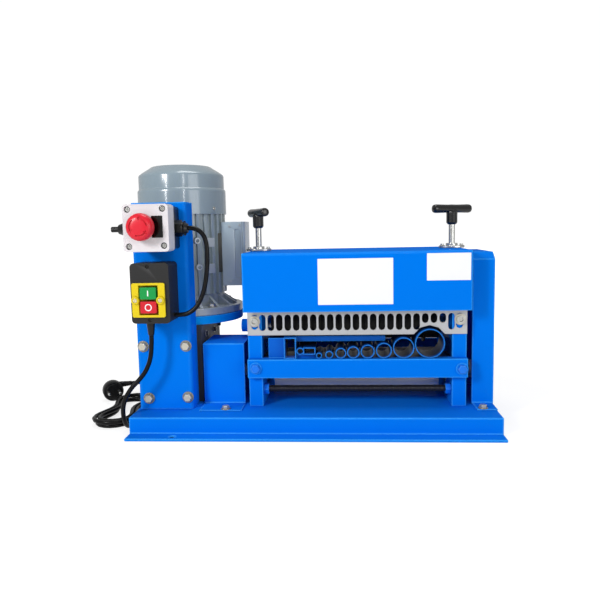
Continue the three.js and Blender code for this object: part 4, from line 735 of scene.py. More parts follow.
@dataclass
class Studio:
    """Camera, floor, lamps and background."""

    eye: Point = (46.94, -1040.71, 308.53)
    yaw: float = -3.95
    pitch: float = 6.51
    roll: float = -1.13
    sensor: float = 36.0
    focal_share: float = 623.04 / 600.0
    floor_half: float = 9000.0
    floor_depth: float = 20.0
    floor_glow: float = 1.3
    world_light: float = 0.22
    lamp_height: float = 500.0
    lamps: tuple[tuple[str, Point, Point, float, float], ...] = (
        ("key_lamp", (-1250, -1650, 1000), (0, 0, 120), 380, 20.5),
        ("fill_lamp", (1300, -1500, 500), (0, 0, 120), 1000, 9.6),
        ("top_lamp", (100, 0, 2200), (0, 0, 0), 1000, 16.5),
        ("strip_lamp", (-900, -1300, 700), (-230, 50, 380), 60, 2.6),
        ("near_strip_lamp", (250, -1350, 700), (-230, 50, 380), 45, 1.6),
    )

    def build(self) -> None:
        """Builds all of it."""
        self._camera()
        self._floor()
        self._lamps()
        self._background()

    def _camera(self) -> None:
        """Puts the camera where the photograph was taken."""
        yaw, tilt, roll = (math.radians(a) for a in (-self.yaw, 90 - self.pitch, self.roll))
        data = bpy.data.cameras.new("camera")
        data.sensor_width = self.sensor
        data.lens = self.focal_share * self.sensor
        data.clip_end = 50.0
        camera = linked("camera", data)
        camera.matrix_world = (Matrix.Translation(placed(self.eye)) @ Matrix.Rotation(yaw, 4, "Z")
                               @ Matrix.Rotation(tilt, 4, "X") @ Matrix.Rotation(roll, 4, "Z"))
        bpy.context.scene.camera = camera

    @staticmethod
    def _seen(tree: Tree) -> NodeSocket:
        """Gives 1 to rays that see the background by eye or through glass, and less to gloss.

        Args:
            tree: Tree that the nodes go into.

        Returns:
            The output.
        """
        path = tree.node("ShaderNodeLightPath").outputs
        shine = tree.times(path["Is Glossy Ray"], 0.4)
        seen = tree.plus(path["Is Camera Ray"], path["Is Transmission Ray"])
        return tree.plus(seen, shine, clamp=True)

    def _floor(self) -> None:
        """Lays a pale floor that keeps the shadow and turns plain white away from it."""
        half = self.floor_half
        square = [(-half, -half), (half, -half), (half, half), (-half, half)]
        floor = linked("floor", Shape().slab([square], Axis.Z, -self.floor_depth, 0).data("floor"))
        material = bpy.data.materials.new("pale_floor")
        material.use_nodes = True
        tree = Tree(material.node_tree)
        tree.tree.nodes.clear()
        plain = tree.node("ShaderNodeBsdfDiffuse", in_Color=(0.9, 0.9, 0.9, 1.0)).outputs[0]
        lit = tree.node("ShaderNodeEmission", in_Color=(1.0, 1.0, 1.0, 1.0), in_Strength=self.floor_glow).outputs[0]
        place = tree.node("ShaderNodeTexCoord").outputs["Object"]
        reach = tree.node("ShaderNodeVectorMath", operation="LENGTH", in0=place).outputs["Value"]
        away = tree.times(tree.less(reach, 0.45, clamp=True), 1.6, clamp=True)
        whole = tree.plus(0.6, tree.times(away, 0.4))
        share = tree.times(self._seen(tree), whole)
        both = tree.node("ShaderNodeMixShader", in0=share, in1=plain, in2=lit).outputs[0]
        tree.node("ShaderNodeOutputMaterial", in_Surface=both)
        floor.data.materials.append(material)

    def _lamps(self) -> None:
        """Hangs the key, fill and top lamps, and two strips that draw lines on the motor."""
        for name, place, aim, width, power in self.lamps:
            data = bpy.data.lights.new(name, "AREA")
            data.shape = "RECTANGLE"
            data.size = width * MM
            data.size_y = max(width, self.lamp_height) * MM
            data.energy = power
            lamp = linked(name, data)
            lamp.location = placed(place)
            lamp.rotation_euler = (placed(aim) - placed(place)).to_track_quat("-Z", "Y").to_euler()

    def _background(self) -> None:
        """Makes the world white to the eye and soft to the object."""
        bpy.context.scene.view_settings.view_transform = "Standard"
        world = bpy.data.worlds.new("studio")
        world.use_nodes = True
        bpy.context.scene.world = world
        tree = Tree(world.node_tree)
        shade = world.node_tree.nodes["Background"].inputs
        tree.feed(shade["Color"], (1.0, 1.0, 1.0, 1.0))
        level = tree.plus(self.world_light, tree.times(self._seen(tree), 0.8))
        tree.feed(shade["Strength"], level)


class Pattern(Enum):
    """Forms that repeat."""

    WASHER = "washer"
    HEX_BOLT = "hex_bolt"
    SOCKET_BOLT = "socket_bolt"
    SOCKET_FLOOR = "socket_floor"
    CROSS_SCREW = "cross_screw"
    RIB = "rib"
    WEB = "web"


class Workshop(Bench):
    """Bench with node trees and patterns that set out fasteners, threads and ribs."""

    def __init__(self) -> None:
        """Opens the bench, builds the trees and draws the patterns."""
        super().__init__()
        self.setter, self.winder = self._setter(), self._winder()
        self.patterns = {kind: self._pattern(kind.value, shape) for kind, shape in self._shapes().items()}

    def _setter(self) -> Tree:
        """Makes the tree that sets one pattern at each point, turned as the point says.

        Returns:
            The tree.
        """
        tree = Tree.group("set_out_pattern", Kind.GEOMETRY,
                          {"Points": Socket.GEOMETRY, "Pattern": Socket.OBJECT, "Size": Socket.VALUE,
                           "Material": Socket.MATERIAL}, {"Geometry": Socket.GEOMETRY})
        points, pattern, size, material = (tree.source[i] for i in range(4))
        pattern = tree.node("GeometryNodeObjectInfo", in0=pattern).outputs["Geometry"]
        facing = tree.node("GeometryNodeInputNamedAttribute", data_type="FLOAT_VECTOR", in_Name="facing").outputs[0]
        turn = tree.node("FunctionNodeEulerToRotation", in0=facing).outputs[0]
        scale = tree.node("ShaderNodeCombineXYZ", in0=size, in1=size, in2=size).outputs[0]
        tree.dressed(tree.node("GeometryNodeInstanceOnPoints", in_Points=points, in_Instance=pattern,
                               in_Rotation=turn, in_Scale=scale), material)
        return tree

    def _winder(self) -> Tree:
        """Makes the tree that winds a thread's ridge up an axis.

        Returns:
            The tree.
        """
        tree = Tree.group("wind_thread", Kind.GEOMETRY,
                          {"Geometry": Socket.GEOMETRY, "Radius": Socket.VALUE, "Length": Socket.VALUE,
                           "Turns": Socket.VALUE, "Ridge": Socket.VALUE, "Material": Socket.MATERIAL},
                          {"Geometry": Socket.GEOMETRY})
        _, radius, length, turns, ridge, material = (tree.source[i] for i in range(6))
        helix = tree.node("GeometryNodeCurveSpiral", in_Resolution=14, in_Rotations=turns, in_Start_Radius=radius,
                          in_End_Radius=radius, in_Height=length).outputs[0]
        profile = tree.node("GeometryNodeCurvePrimitiveCircle", in_Resolution=4, in_Radius=ridge).outputs[0]
        tree.dressed(tree.node("GeometryNodeCurveToMesh", in_Curve=helix, in_Profile_Curve=profile,
                               in_Fill_Caps=True), material)
        return tree

    @staticmethod
    def _shapes() -> dict[Pattern, Shape]:
        """Draws the patterns about the origin, with their heads towards +Z.

        Returns:
            The shape of each pattern.
        """
        arm, reach = 0.36, 1.5
        cross = [(arm, arm), (arm, reach), (-arm, reach), (-arm, arm), (-reach, arm), (-reach, -arm), (-arm, -arm),
                 (-arm, -reach), (arm, -reach), (arm, -arm), (reach, -arm), (reach, arm)]
        socket = Shape().turned([(0, 1.3), (5.9, 1.3), (6.1, 1.6), (6.1, 3.4), (0, 3.4)], Axis.Z, sides=32)
        screw = Shape().rod(2.5, 0, 0.5, Axis.Z, (0, 0, 0), 24)
        return {
            Pattern.WASHER: Shape().turned([(0, 0), (9.0, 0), (9.0, 1.0), (8.6, 1.4), (0, 1.4)], Axis.Z, sides=32),
            Pattern.HEX_BOLT: Shape().turned([(0, 1.3), (6.9, 1.3), (6.9, 5.4), (5.9, 6.6), (0, 6.6)], Axis.Z,
                                             sides=6),
            Pattern.SOCKET_BOLT: socket.slab([circle(0, 0, 6.1, 32), circle(0, 0, 3.7, 6)], Axis.Z, 3.4, 7.2),
            Pattern.SOCKET_FLOOR: Shape().slab([circle(0, 0, 3.6, 6)], Axis.Z, 3.5, 4.0),
            Pattern.CROSS_SCREW: screw.slab([circle(0, 0, 2.5, 24), cross], Axis.Z, 0.5, 1.3),
            Pattern.RIB: Shape().slab([[(-0.45, -0.2), (0.45, -0.2), (0.45, 0.7), (-0.45, 0.7)]], Axis.Y, -4.4, 4.4),
            Pattern.WEB: Shape().slab([[(-13, 0), (13, 0), (-11.5, 17), (-13, 17)]], Axis.Y, -2.4, 2.4),
        }

    @staticmethod
    def _pattern(name: str, shape: Shape) -> Object:
        """Keeps a shape as an object outside the scene.

        Args:
            name: Name of the pattern.
            shape: Its shape.

        Returns:
            The object.
        """
        mesh = bpy.data.meshes.new(name)
        bmesh.ops.recalc_face_normals(shape.mesh, faces=shape.mesh.faces)
        shape.mesh.to_mesh(mesh)
        shape.mesh.free()
        mesh.transform(Matrix.Scale(MM, 4))
        return bpy.data.objects.new(name + "_pattern", mesh)

    def _grown(self, start: Mesh, tree: Tree, finish: Finish, **values: object) -> Mesh:
        """Runs a tree on a mesh and gives the plain result.

        Args:
            start: Mesh that the tree starts from.
            tree: The tree.
            finish: Finish of the result.
            values: Value of each other named input.

        Returns:
            The plain mesh.
        """
        values["Material"] = self.paint.material(finish)
        holder = linked(start.name, start)
        grower = holder.modifiers.new("grow", "NODES")
        grower.node_group = tree.tree
        for item in tree.tree.interface.items_tree:
            if item.in_out == "INPUT" and item.name in values:
                grower[item.identifier] = values[item.name]
        return settled(holder)

    def set_out(self, name: str, pattern: Pattern, spots: Sequence[Spot], finish: Finish, size: float = 1.0,
                under: Finish | None = None) -> None:
        """Sets a pattern at spots, with washers where they have a finish and a floor in each socket.

        Args:
            name: Name of the piece.
            pattern: The pattern.
            spots: Place in the drawing and turn in degrees of each one.
            finish: Finish of all of them.
            size: Size against the pattern.
            under: Finish of the washers.
        """
        if under is not None:
            self.set_out(name + "_washers", Pattern.WASHER, spots, under, size)
        start = bpy.data.meshes.new(name + "_spots")
        start.from_pydata([placed(place) for place, _ in spots], [], [])
        facing = start.attributes.new("facing", "FLOAT_VECTOR", "POINT")
        for held, (_, turn) in zip(facing.data, spots):
            held.vector = [math.radians(a) for a in turn]
        mesh = self._grown(start, self.setter, finish, Pattern=self.patterns[pattern], Size=size)
        self.piece(name, mesh, finish, angle=30.0)
        if pattern is Pattern.SOCKET_BOLT:
            self.set_out(name + "_sockets", Pattern.SOCKET_FLOOR, spots, BRIGHT, size)

    def thread(self, name: str, radius: float, pitch: float, start: Point, length: float, finish: Finish) -> None:
        """Winds a thread along X.

        Args:
            name: Name of the piece.
            radius: Radius of the ridge's middle.
            pitch: Rise of a turn.
            start: Where the thread starts.
            length: Its length.
            finish: Its finish.
        """
        mesh = self._grown(bpy.data.meshes.new(name + "_seed"), self.winder, finish, Radius=radius * MM,
                           Length=length * MM, Turns=length / pitch, Ridge=pitch * 0.42 * MM)
        mesh.transform(Matrix.Translation(placed(start)) @ Matrix.Rotation(math.radians(90), 4, "Y"))
        work = bmesh.new()
        work.from_mesh(mesh)
        bmesh.ops.recalc_face_normals(work, faces=work.faces)
        work.to_mesh(mesh)
        work.free()
        self.piece(name, mesh, finish, angle=50.0)


def smooth_line(route: Sequence[Point]) -> list[Vector]:
    """Runs a smooth line through points, evenly by the root of their distance.

    Args:
        route: The points.

    Returns:
        Points of the line.
    """
    points = [Vector(p) for p in route]
    points = [points[0] * 2 - points[1], *points, points[-1] * 2 - points[-2]]
    out = []
    for p0, p1, p2, p3 in zip(points, points[1:], points[2:], points[3:]):
        t1 = math.sqrt((p1 - p0).length)
        t2 = t1 + math.sqrt((p2 - p1).length)
        t3 = t2 + math.sqrt((p3 - p2).length)
        for step in range(LEAD_STEPS):
            t = t1 + (t2 - t1) * step / LEAD_STEPS
            share = (t - t1) / (t2 - t1)
            a1, a2, a3 = p0.lerp(p1, t / t1), p1.lerp(p2, share), p2.lerp(p3, (t - t2) / (t3 - t2))
            out.append(a1.lerp(a2, t / t2).lerp(a2.lerp(a3, (t - t1) / (t3 - t1)), share))
    return [*out, points[-2]]


def length_of(points: Sequence[Vector]) -> float:
    """Gives the length of a line."""
    return sum((b - a).length for a, b in zip(points, points[1:]))


@dataclass
class Assembly:
    """Part of the machine that makes its own pieces.

    Attributes:
        bench: Where its pieces are dressed and set out.
    """

    bench: Workshop

    def refined(self, *rows: tuple) -> None:
        """Replaces nodes in order, each by a row of node, finish, bevel and perhaps body."""
        for row in rows:
            self.bench.refined(*row)


@dataclass
class Lead(Assembly):
    """Round lead on the frame."""

    diameter: float = 7.0

    def strung(self, name: str, points: Sequence[Vector]) -> Object:
        """Makes the lead along a line.

        Args:
            name: Name of the piece.
            points: The line, in the frame.

        Returns:
            The lead.
        """
        curve = bpy.data.curves.new(name, "CURVE")
        curve.dimensions = "3D"
        curve.bevel_depth = self.diameter / 2 * MM
        curve.bevel_resolution = 6
        curve.use_fill_caps = True
        spline = curve.splines.new("POLY")
        spline.points.add(len(points) - 1)
        for held, point in zip(spline.points, points):
            held.co = (*point, 1.0)
        spline.use_smooth = True
        curve.materials.append(self.bench.paint.material(SHEATH))
        made = linked(name, curve)
        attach(made, Body.FRAME.value)
        log.info("%s: %.3f m", name, length_of(points))
        return made


@dataclass
class MainsLead(Lead):
    """Mains lead from the switch box to its plug, wound in a hank beside the base."""

    lift: float = 0.3
    hank_run: float = 105.0
    hank_loops: int = 3
    hank_inner: float = 21.0
    hank_pitch: float = 8.3
    hank_rise: float = 7.6
    hank_waist: float = 11.0
    hank_x: float = -325.4
    hank_near: float = -78.0
    hank_steps: int = 110
    drop: tuple[Point, ...] = (
        (-243, -126, 152.9), (-243, -126, 146.3), (-243.6, -126, 138), (-245, -126, 124), (-248.6, -126, 110),
        (-255.4, -126.4, 96), (-265.4, -127.4, 83.6), (-276.8, -129, 71.6), (-286, -130.6, 57),
        (-290.6, -131.4, 41), (-291.6, -128.6, 26), (-291.9, -120.4, 13.2), (-292, -109.6, 6))
    lead_in: Pair = (14.3, 7.0)
    lead_out: float = 7.0
    tail: tuple[Point, ...] = ((-293.4, 57, 13.4), (-300.5, 73, 17.6), (-313, 84.2, 22.4), (-328.5, 86.8, 26.4))
    plug: Point = (-380.0, 62.0, 18.5)
    plug_turn: float = 27.0
    plug_radius: float = 18.2
    plug_half: float = 12.0
    boot: float = 16.0
    boot_lift: float = 9.4
    boot_run: Pair = (41.5, 34.5)
    pin_half: float = 9.5

    @property
    def run_share(self) -> float:
        """Share of a loop that each straight run takes."""
        return self.hank_run / (self.hank_run + math.pi * (self.hank_inner + self.hank_pitch)) / 2

    def hank_point(self, turns: float) -> Vector:
        """Gives a point of the hank.

        Args:
            turns: Loops from its start.

        Returns:
            The point in the drawing.
        """
        run, reversal = self.run_share, self.hank_loops / 2
        radius = self.hank_inner + self.hank_pitch * (reversal - min(turns, self.hank_loops - turns))
        share = min(max((turns - reversal + 0.5 * run) / run, 0.0), 1.0)
        height = self.diameter / 2 + self.lift + self.hank_rise * share * share * (3 - 2 * share)
        phase = turns % 1.0
        side, half = (1.0, phase) if phase < 0.5 else (-1.0, phase - 0.5)
        near, far = self.hank_near, self.hank_near + self.hank_run
        if side < 0:
            near, far = far, near
        if half < run:
            along = half / run
            drawn = radius - self.hank_waist * math.sin(math.pi * along) ** 2
            return Vector((self.hank_x + side * drawn, near + (far - near) * along, height))
        angle = 180 * (half - run) / (0.5 - run)
        return Vector((*around(self.hank_x, far, side * radius, angle), height))

    def line(self) -> list[Vector]:
        """Gives the whole middle line, from the switch box to the plug.

        Returns:
            Its points in the drawing.
        """
        last = self.hank_loops + self.run_share
        hank = [self.hank_point(last * step / self.hank_steps) for step in range(self.hank_steps + 1)]
        first = [hank[0] - Vector((0, back, 0)) for back in self.lead_in]
        x, y, z = self.plug
        boot = [(*around(x, y, reach, self.plug_turn), z + self.boot_lift) for reach in self.boot_run]
        after = hank[-1] + Vector((0, self.lead_out, 0))
        return [*smooth_line([*self.drop, *first]), *hank, *smooth_line([after, *self.tail, *boot])]

    def build(self) -> None:
        """Makes the lead, its strain relief and its plug."""
        points = [placed(p) for p in self.line()]
        lead = self.strung("mains_lead", points)
        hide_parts("mains_cord", "cord_hank", "plug_cord")
        plug = self._plug()

    def _plug(self) -> Object:
        """Makes the round plug with its boot and its pins.

        Returns:
            The plug's body.
        """
        radius, half = self.plug_radius, self.plug_half
        shape = Shape().turned(
            [(0, -half), (radius - 5.4, -half), (radius - 5.2, 0.8 - half), (radius - 2.8, 0.8 - half),
             (radius - 2.6, -half), (radius - 1.2, 0.4 - half), (radius, 2.6 - half), (radius, half - 6),
             (radius - 1.0, half - 3), (radius - 4, half - 0.6), (radius - 6, half), (0, half)],
            Axis.Y, sides=56)
        grips = ((5.4, -1), (4.9, 3), (5.2, 3.4), (4.8, 6), (4.4, 6.2), (4.8, 7), (4.5, 10), (4.1, 10.2), (4.5, 11),
                 (4.2, self.boot))
        shape.turned([(0, 0), (grips[0][0], 0), *((wide, radius + out) for wide, out in grips),
                      (0, radius + self.boot)], Axis.X, (0, 0, self.boot_lift), 24)
        turn = turned_at(self.plug, self.plug_turn)
        body = self.bench.piece("plug_body", shape.moved(turn), PLUG, nodes=("mains_plug",), bevel=0.3)
        pins = Shape()
        for x in (-self.pin_half, self.pin_half):
            pins.turned([(0, -31), (1.2, -31), (2.2, -30.4), (2.4, -29.4), (2.4, -11), (0, -11)], Axis.Y,
                        (x, 0, 0), 20)
        self.bench.piece("plug_pins", pins.moved(turn), BRIGHT)
        return body


@dataclass
class LinkLead(Lead):
    """Short lead from the stop station's gland down to the switch box."""

    route: tuple[Point, ...] = (
        (-182.999, -114, 313), (-179.5, -114, 313), (-173, -114, 312), (-165.5, -114, 308), (-159.6, -114.2, 300.8),
        (-156.3, -114.5, 290.5), (-155.3, -115, 275), (-155.8, -115.4, 257), (-158, -116, 238), (-162, -117, 219),
        (-168.5, -118, 203), (-177.5, -119, 191), (-188, -119.8, 184.6), (-197, -120, 183.1), (-203.7, -120, 183),
        (-206.9, -120, 183))

    def build(self) -> None:
        """Makes the lead."""
        points = [placed(p) for p in smooth_line(self.route)]
        lead = self.strung("link_lead_dressed", points)
        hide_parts("link_lead")


@dataclass
class Stand(Assembly):
    """Tray, side plates, beams, feed guide and sight plate."""

    hole_spot: Pair = (-209.8, -154.2)
    hole_radius: float = 4.6
    hole_reach: Pair = (-5.0, 12.0)
    hole_shade_gap: float = 0.3
    hole_shade_top: float = 1.6
    rod_radius: float = 5.0
    rod_soft: float = 0.8
    rod_place: Pair = (-64.0, 54.0)
    rod_ends: Pair = (-103.0, 237.0)
    thread_pitch: float = 1.75
    thread_inset: float = 2.0
    nut_radius: float = 9.2
    nut_starts: Pair = (-80.7, 206.7)
    nut_width: float = 8.0
    beam_bolts: Pairs = ((-90.2, 93.0), (228.0, 91.0))
    beam_face: float = -91.3
    rear_face: float = 88.3
    sight_bolts: Pairs = ((-91.6, 165.6), (226.4, 166.4))
    sight_face: float = -81.0

    def build(self) -> None:
        """Makes the pieces."""
        spot, gap = (*self.hole_spot, 0), self.hole_shade_gap
        hole = Shape().rod(self.hole_radius, *self.hole_reach, Axis.Z, spot, 28)
        self.bench.refined("base_tray", AZURE, 1.4, holes=hole)
        # A black disc in the hole of the base's foot, as painted shade where the floor would show through.
        hole_shade = Shape().rod(self.hole_radius - gap, gap, self.hole_shade_top, Axis.Z, spot, 28)
        self.bench.piece("floor_anchor", hole_shade, BLACK)
        tubes = ("feed_tubes_oval_and_flat", *(f"feed_tube_round_{index}" for index in range(1, 9)))
        self.refined(("side_plate_left", AZURE, 0.9), ("side_plate_right", AZURE, 0.9), ("front_beam", AZURE, 0.9),
                     ("rear_beam", AZURE_INNER, 0.9), ("feed_guide_frame", GUIDE, 0.5),
                     *((node, TUBE, 0.45) for node in tubes), ("window_plate", SATIN, 0.3))
        self._tie_rod()
        for name, spots, size in (("beam_bolts", on_face(self.beam_bolts, self.beam_face), 1.06),
                                  ("rear_beam_bolts", on_face(self.beam_bolts, self.rear_face, BACK), 1.0)):
            self.bench.set_out(name, Pattern.HEX_BOLT, spots, AZURE_BOLT, size, AZURE)
        self.bench.set_out("sight_plate_bolts", Pattern.SOCKET_BOLT, on_face(self.sight_bolts, self.sight_face),
                           BRIGHT, under=ZINC)

    def _tie_rod(self) -> None:
        """Makes the threaded rod between the side plates, with its nuts."""
        (start, end), radius, soft, inset = self.rod_ends, self.rod_radius, self.rod_soft, self.thread_inset
        middle = (0, *self.rod_place)
        core = Shape().turned([(0, start), (radius - soft, start), (radius, start + soft), (radius, end - soft),
                               (radius - soft, end), (0, end)], Axis.X, middle, 32)
        self.bench.piece("tie_rod_core", core, THREAD, nodes=("tie_rod",))
        self.bench.thread("tie_rod_thread", radius, self.thread_pitch, (start + inset, *self.rod_place),
                          end - start - 2 * inset, THREAD)
        nuts = Shape()
        for place in self.nut_starts:
            nuts.rod(self.nut_radius, place, place + self.nut_width, Axis.X, middle, 6)
        self.bench.piece("tie_rod_nuts", nuts, AZURE_BOLT, bevel=0.8)


@dataclass
class BladeHead(Assembly):
    """Feed roller, blades and the two adjusting screws with their handles."""

    line_y: float = -2.0
    screw_x: Pair = (-92.0, 226.0)
    flange_top: float = 276.8
    flange_half: float = 15.6
    handle_low: float = 311.0
    hub_height: float = 22.0
    bar_radius: float = 7.0
    bar_length: float = 71.0
    turns: Pair = (-62.0, 26.0)

    def build(self) -> None:
        """Makes the pieces."""
        sides, screws = ("left", "right"), (Body.LEFT_SCREW, Body.RIGHT_SCREW)
        self.refined(("drive_roller", BANDS, 0.6, Body.DRIVE))
        for side in sides:
            self.refined((f"roller_bearing_{side}", BRIGHT, 0.5),
                         (f"bearing_block_{side}", AZURE, 0.7, Body.CARRIAGE), (f"screw_bush_{side}", BRIGHT, 0.6))
        self.refined(("blade_shaft", BRIGHT, 0.6, Body.BLADES), ("blade_stack", KNURL, 0.3, Body.BLADES),
                     *((f"adjusting_screw_{side}", BRIGHT, 0.4, body) for side, body in zip(sides, screws)))
        for side, body, x, turn in zip(sides, screws, self.screw_x, self.turns):
            self._handle(side, body, turned_at((x, self.line_y, self.handle_low), turn))
        spots = [((x + offset, self.line_y, self.flange_top), UP)
                 for x in self.screw_x for offset in (-self.flange_half, self.flange_half)]
        self.bench.set_out("bush_flange_screws", Pattern.SOCKET_BOLT, spots, BRIGHT, 0.44, WASHER)

    def _handle(self, side: str, body: Body, place: Matrix) -> None:
        """Makes a T handle: a fluted hub and a bar with round ends.

        Args:
            side: Left or right.
            body: The screw that it turns.
            place: Where it stands and how it is turned.
        """
        high, radius, half = self.hub_height, self.bar_radius, self.bar_length / 2
        hub = Shape().turned([(5.3, 0), (6.6, 0), (8.4, 2.2), (9.0, 3.0), (9.0, high - 5), (9.4, high - 2),
                              (7.6, high + 1.6), (0, high + 1.6), (0, 12.3), (5.3, 12.3), (5.3, 0)],
                             Axis.Z, sides=14)
        lobe = [(0, -half), (radius - 2.4, -half), (radius - 0.9, 0.7 - half), (radius - 0.3, 2.2 - half),
                (radius, 5 - half), (radius - 0.5, -8), (radius - 0.2, 0)]
        middle = (0, 0, high + radius / 2)
        bar = Shape().turned([*lobe, *((r, -h) for r, h in lobe[-2::-1])], Axis.X, middle, 36)
        bar.rod(2.2, -half, 0.3 - half, Axis.X, middle, 20)
        self.bench.piece(f"handle_hub_{side}", hub.moved(place), HANDLE, body, (f"screw_handle_{side}",), 0.5, 20.0)
        self.bench.piece(f"handle_bar_{side}", bar.moved(place), HANDLE, body)


@dataclass
class Covers(Assembly):
    """Hood, end cover and coupling cover, with two bare plates and their foot bolts."""

    hood_face: float = -100.0
    hood_back: float = 84.0
    fixings: Pairs = ((-92.0, 250.0), (67.0, 250.0), (226.0, 250.0))
    plate_depth: float = 0.4
    plate_corner: float = 0.8
    left_plate: Sides = (9.5, 123.0, 193.0, 263.0)
    right_plate: Sides = (173.0, 238.0, 228.0, 268.8)
    foot_bolts: tuple[Point, ...] = ((-138.0, -99.0, 30.3), (259.0, -96.0, 30.8))

    def build(self) -> None:
        """Makes the pieces."""
        self.refined(("top_cover", AZURE, 0.7))
        self.bench.set_out("hood_back_screws", Pattern.SOCKET_BOLT, on_face(self.fixings, self.hood_back, BACK),
                           ZINC, 0.6, WASHER)
        self.refined(("end_cover", AZURE, 0.9), ("coupling_cover", AZURE, 0.6))
        for name, sides in (("plate_left", self.left_plate), ("plate_right", self.right_plate)):
            plate = Shape().slab([rounded(*sides, self.plate_corner)], Axis.Y, self.hood_face - self.plate_depth,
                                 self.hood_face)
            self.bench.piece(name, plate, PLATE, bevel=0.12)
        self.bench.set_out("foot_bolts", Pattern.HEX_BOLT, [(place, UP) for place in self.foot_bolts], ZINC, 0.84,
                           WASHER)


@dataclass
class Drive(Assembly):
    """Coupling, worm gearbox and motor."""

    motor: Pair = (-231.5, 48.0)
    fin_radius: float = 73.0
    cowl_radius: float = 75.6
    cowl_wall: float = 2.0
    cowl_low: float = 336.5
    cowl_step: float = 380.0
    cowl_shoulder: float = 404.0
    cowl_top: float = 419.0
    crown_radius: float = 50.1
    cowl_inset: float = 2.5
    slots: int = 12
    slot_reach: Pair = (18.0, 44.0)
    slot_half: float = 2.5
    slot_corner: float = 2.4
    cowl_screw_z: float = 345.4
    cowl_screws: tuple[float, ...] = (-32.9, 57.1, 147.1, 237.1)
    rim_top: float = 181.3
    rim_radius: float = 88.0
    rim_bolts: tuple[float, ...] = (-46.7, 43.3, 130.0, -130.0)
    web_radius: float = 79.0
    webs: range = range(-120, 121, 20)
    pads: Pairs = ((281.0, 296.5), (237.0, 253.0))
    pad_angle: float = -40.4
    pad_half: float = 9.5
    pad_start: float = 64.0
    pad_rise: float = 1.4
    lugs: Pairs = ((-58.2, 292.0), (-56.8, 247.7))
    lug_ring: Pairs = ((2.4, 70.5), (5.4, 70.5), (5.4, 74.4), (4.9, 75), (2.9, 75), (2.4, 74.4), (2.4, 70.5))
    nameplate: Sides = (-7.5, 7.5, 237.0, 304.0)
    nameplate_faces: Pair = (72.2, 73.6)
    nameplate_angle: float = -18.0
    gearbox_right: float = -183.0
    gearbox_back: float = 98.0
    gearbox_left: float = -280.0
    side_bolts: Pairs = ((44.2, 134.6), (-20, 137.4), (-40, 84), (84, 138))
    cover_spot: Point = (-231.5, 36.0, 84.0)
    cover_profile: Pairs = ((0, 0), (34, 0), (34, 2.4), (32.6, 3.6), (22, 3.6), (20.5, 2.2), (0, 2.2))
    cover_rise: float = 3.6
    cover_bolts: float = 27.0
    plug_beside: float = 34.0
    plug_above: float = 58.0
    drain_z: float = 48.0
    left_plug_before: float = 42.0
    box_front: float = 29.0
    box_panel: Sides = (-138.0, -128.0, 226.0, 310.0)
    panel_depth: float = 2.2
    box_joint: Sides = (-124.9, -124.0, 205.0, 330.0)
    joint_depth: float = 0.9
    cut_start: float = 3.0
    box_screws: Pairs = ((-146.5, 315.0), (-128.5, 317.0), (-146.5, 220.5), (-128.5, 219.5))

    def around(self, angle: float, radius: float, height: float) -> Point:
        """Gives a place round the motor's axis."""
        return (*around(*self.motor, radius, angle), height)

    def turned(self, angle: float, height: float = 0.0) -> Matrix:
        """Gives the move that sets a shape on the motor's axis and turns it."""
        return turned_at((*self.motor, height), angle)

    def build(self) -> None:
        """Makes the pieces."""
        self.refined(("coupling_half_gearbox", BRIGHT, 0.5, Body.DRIVE),
                     ("coupling_half_roller", BRIGHT, 0.5, Body.DRIVE),
                     ("gearbox_housing", CAST, 2.4), ("worm_wheel", BRONZE, 0.3, Body.DRIVE),
                     ("worm", DARK_STEEL, 0.3, Body.ROTOR), ("adapter_flange", AZURE_RING, 1.4),
                     ("motor_flange", SHADE_GREY, 1.2), ("motor_frame", FINNED, 0.9),
                     ("motor_rotor", DARK_STEEL, 0.4, Body.ROTOR), ("motor_fan", BLACK, 0.4, Body.ROTOR))
        self._cowl()
        self._frame_details()
        self._terminal_box()
        spots = [((self.gearbox_right, y, z), RIGHT) for y, z in self.side_bolts]
        self.bench.set_out("gearbox_bolts", Pattern.SOCKET_BOLT, spots, DARK_STEEL, 0.62, WASHER)
        self._gearbox_covers()

    def _gearbox_covers(self) -> None:
        """Makes the round covers and plugs on the gearbox's back and left."""
        x, y, z = self.cover_spot
        back, left = self.gearbox_back, self.gearbox_left
        caps = Shape()
        for axis, start, way, centre in ((Axis.Y, back, 1, (x, 0, z)), (Axis.X, left, -1, (0, y, z))):
            profile = [(radius, start + rise * way) for radius, rise in self.cover_profile]
            caps.turned(profile, axis, centre, 64)
        self.bench.piece("gearbox_covers", caps, CAST)
        spots, rise = [], self.cover_rise
        for u, v in (around(0, 0, self.cover_bolts, turn) for turn in (45, 135, 225, 315)):
            spots += [((x + u, back + rise, z + v), BACK), ((left - rise, y + u, z + v), LEFT)]
        self.bench.set_out("gearbox_cover_bolts", Pattern.SOCKET_BOLT, spots, DARK_STEEL, 0.5, WASHER)
        beside, above = x + self.plug_beside, z + self.plug_above
        plugs = [((beside, back, above), BACK), ((beside, back, self.drain_z), BACK),
                 ((left, y - self.left_plug_before, above), LEFT)]
        self.bench.set_out("oil_plugs", Pattern.HEX_BOLT, plugs, BRONZE, 0.8)

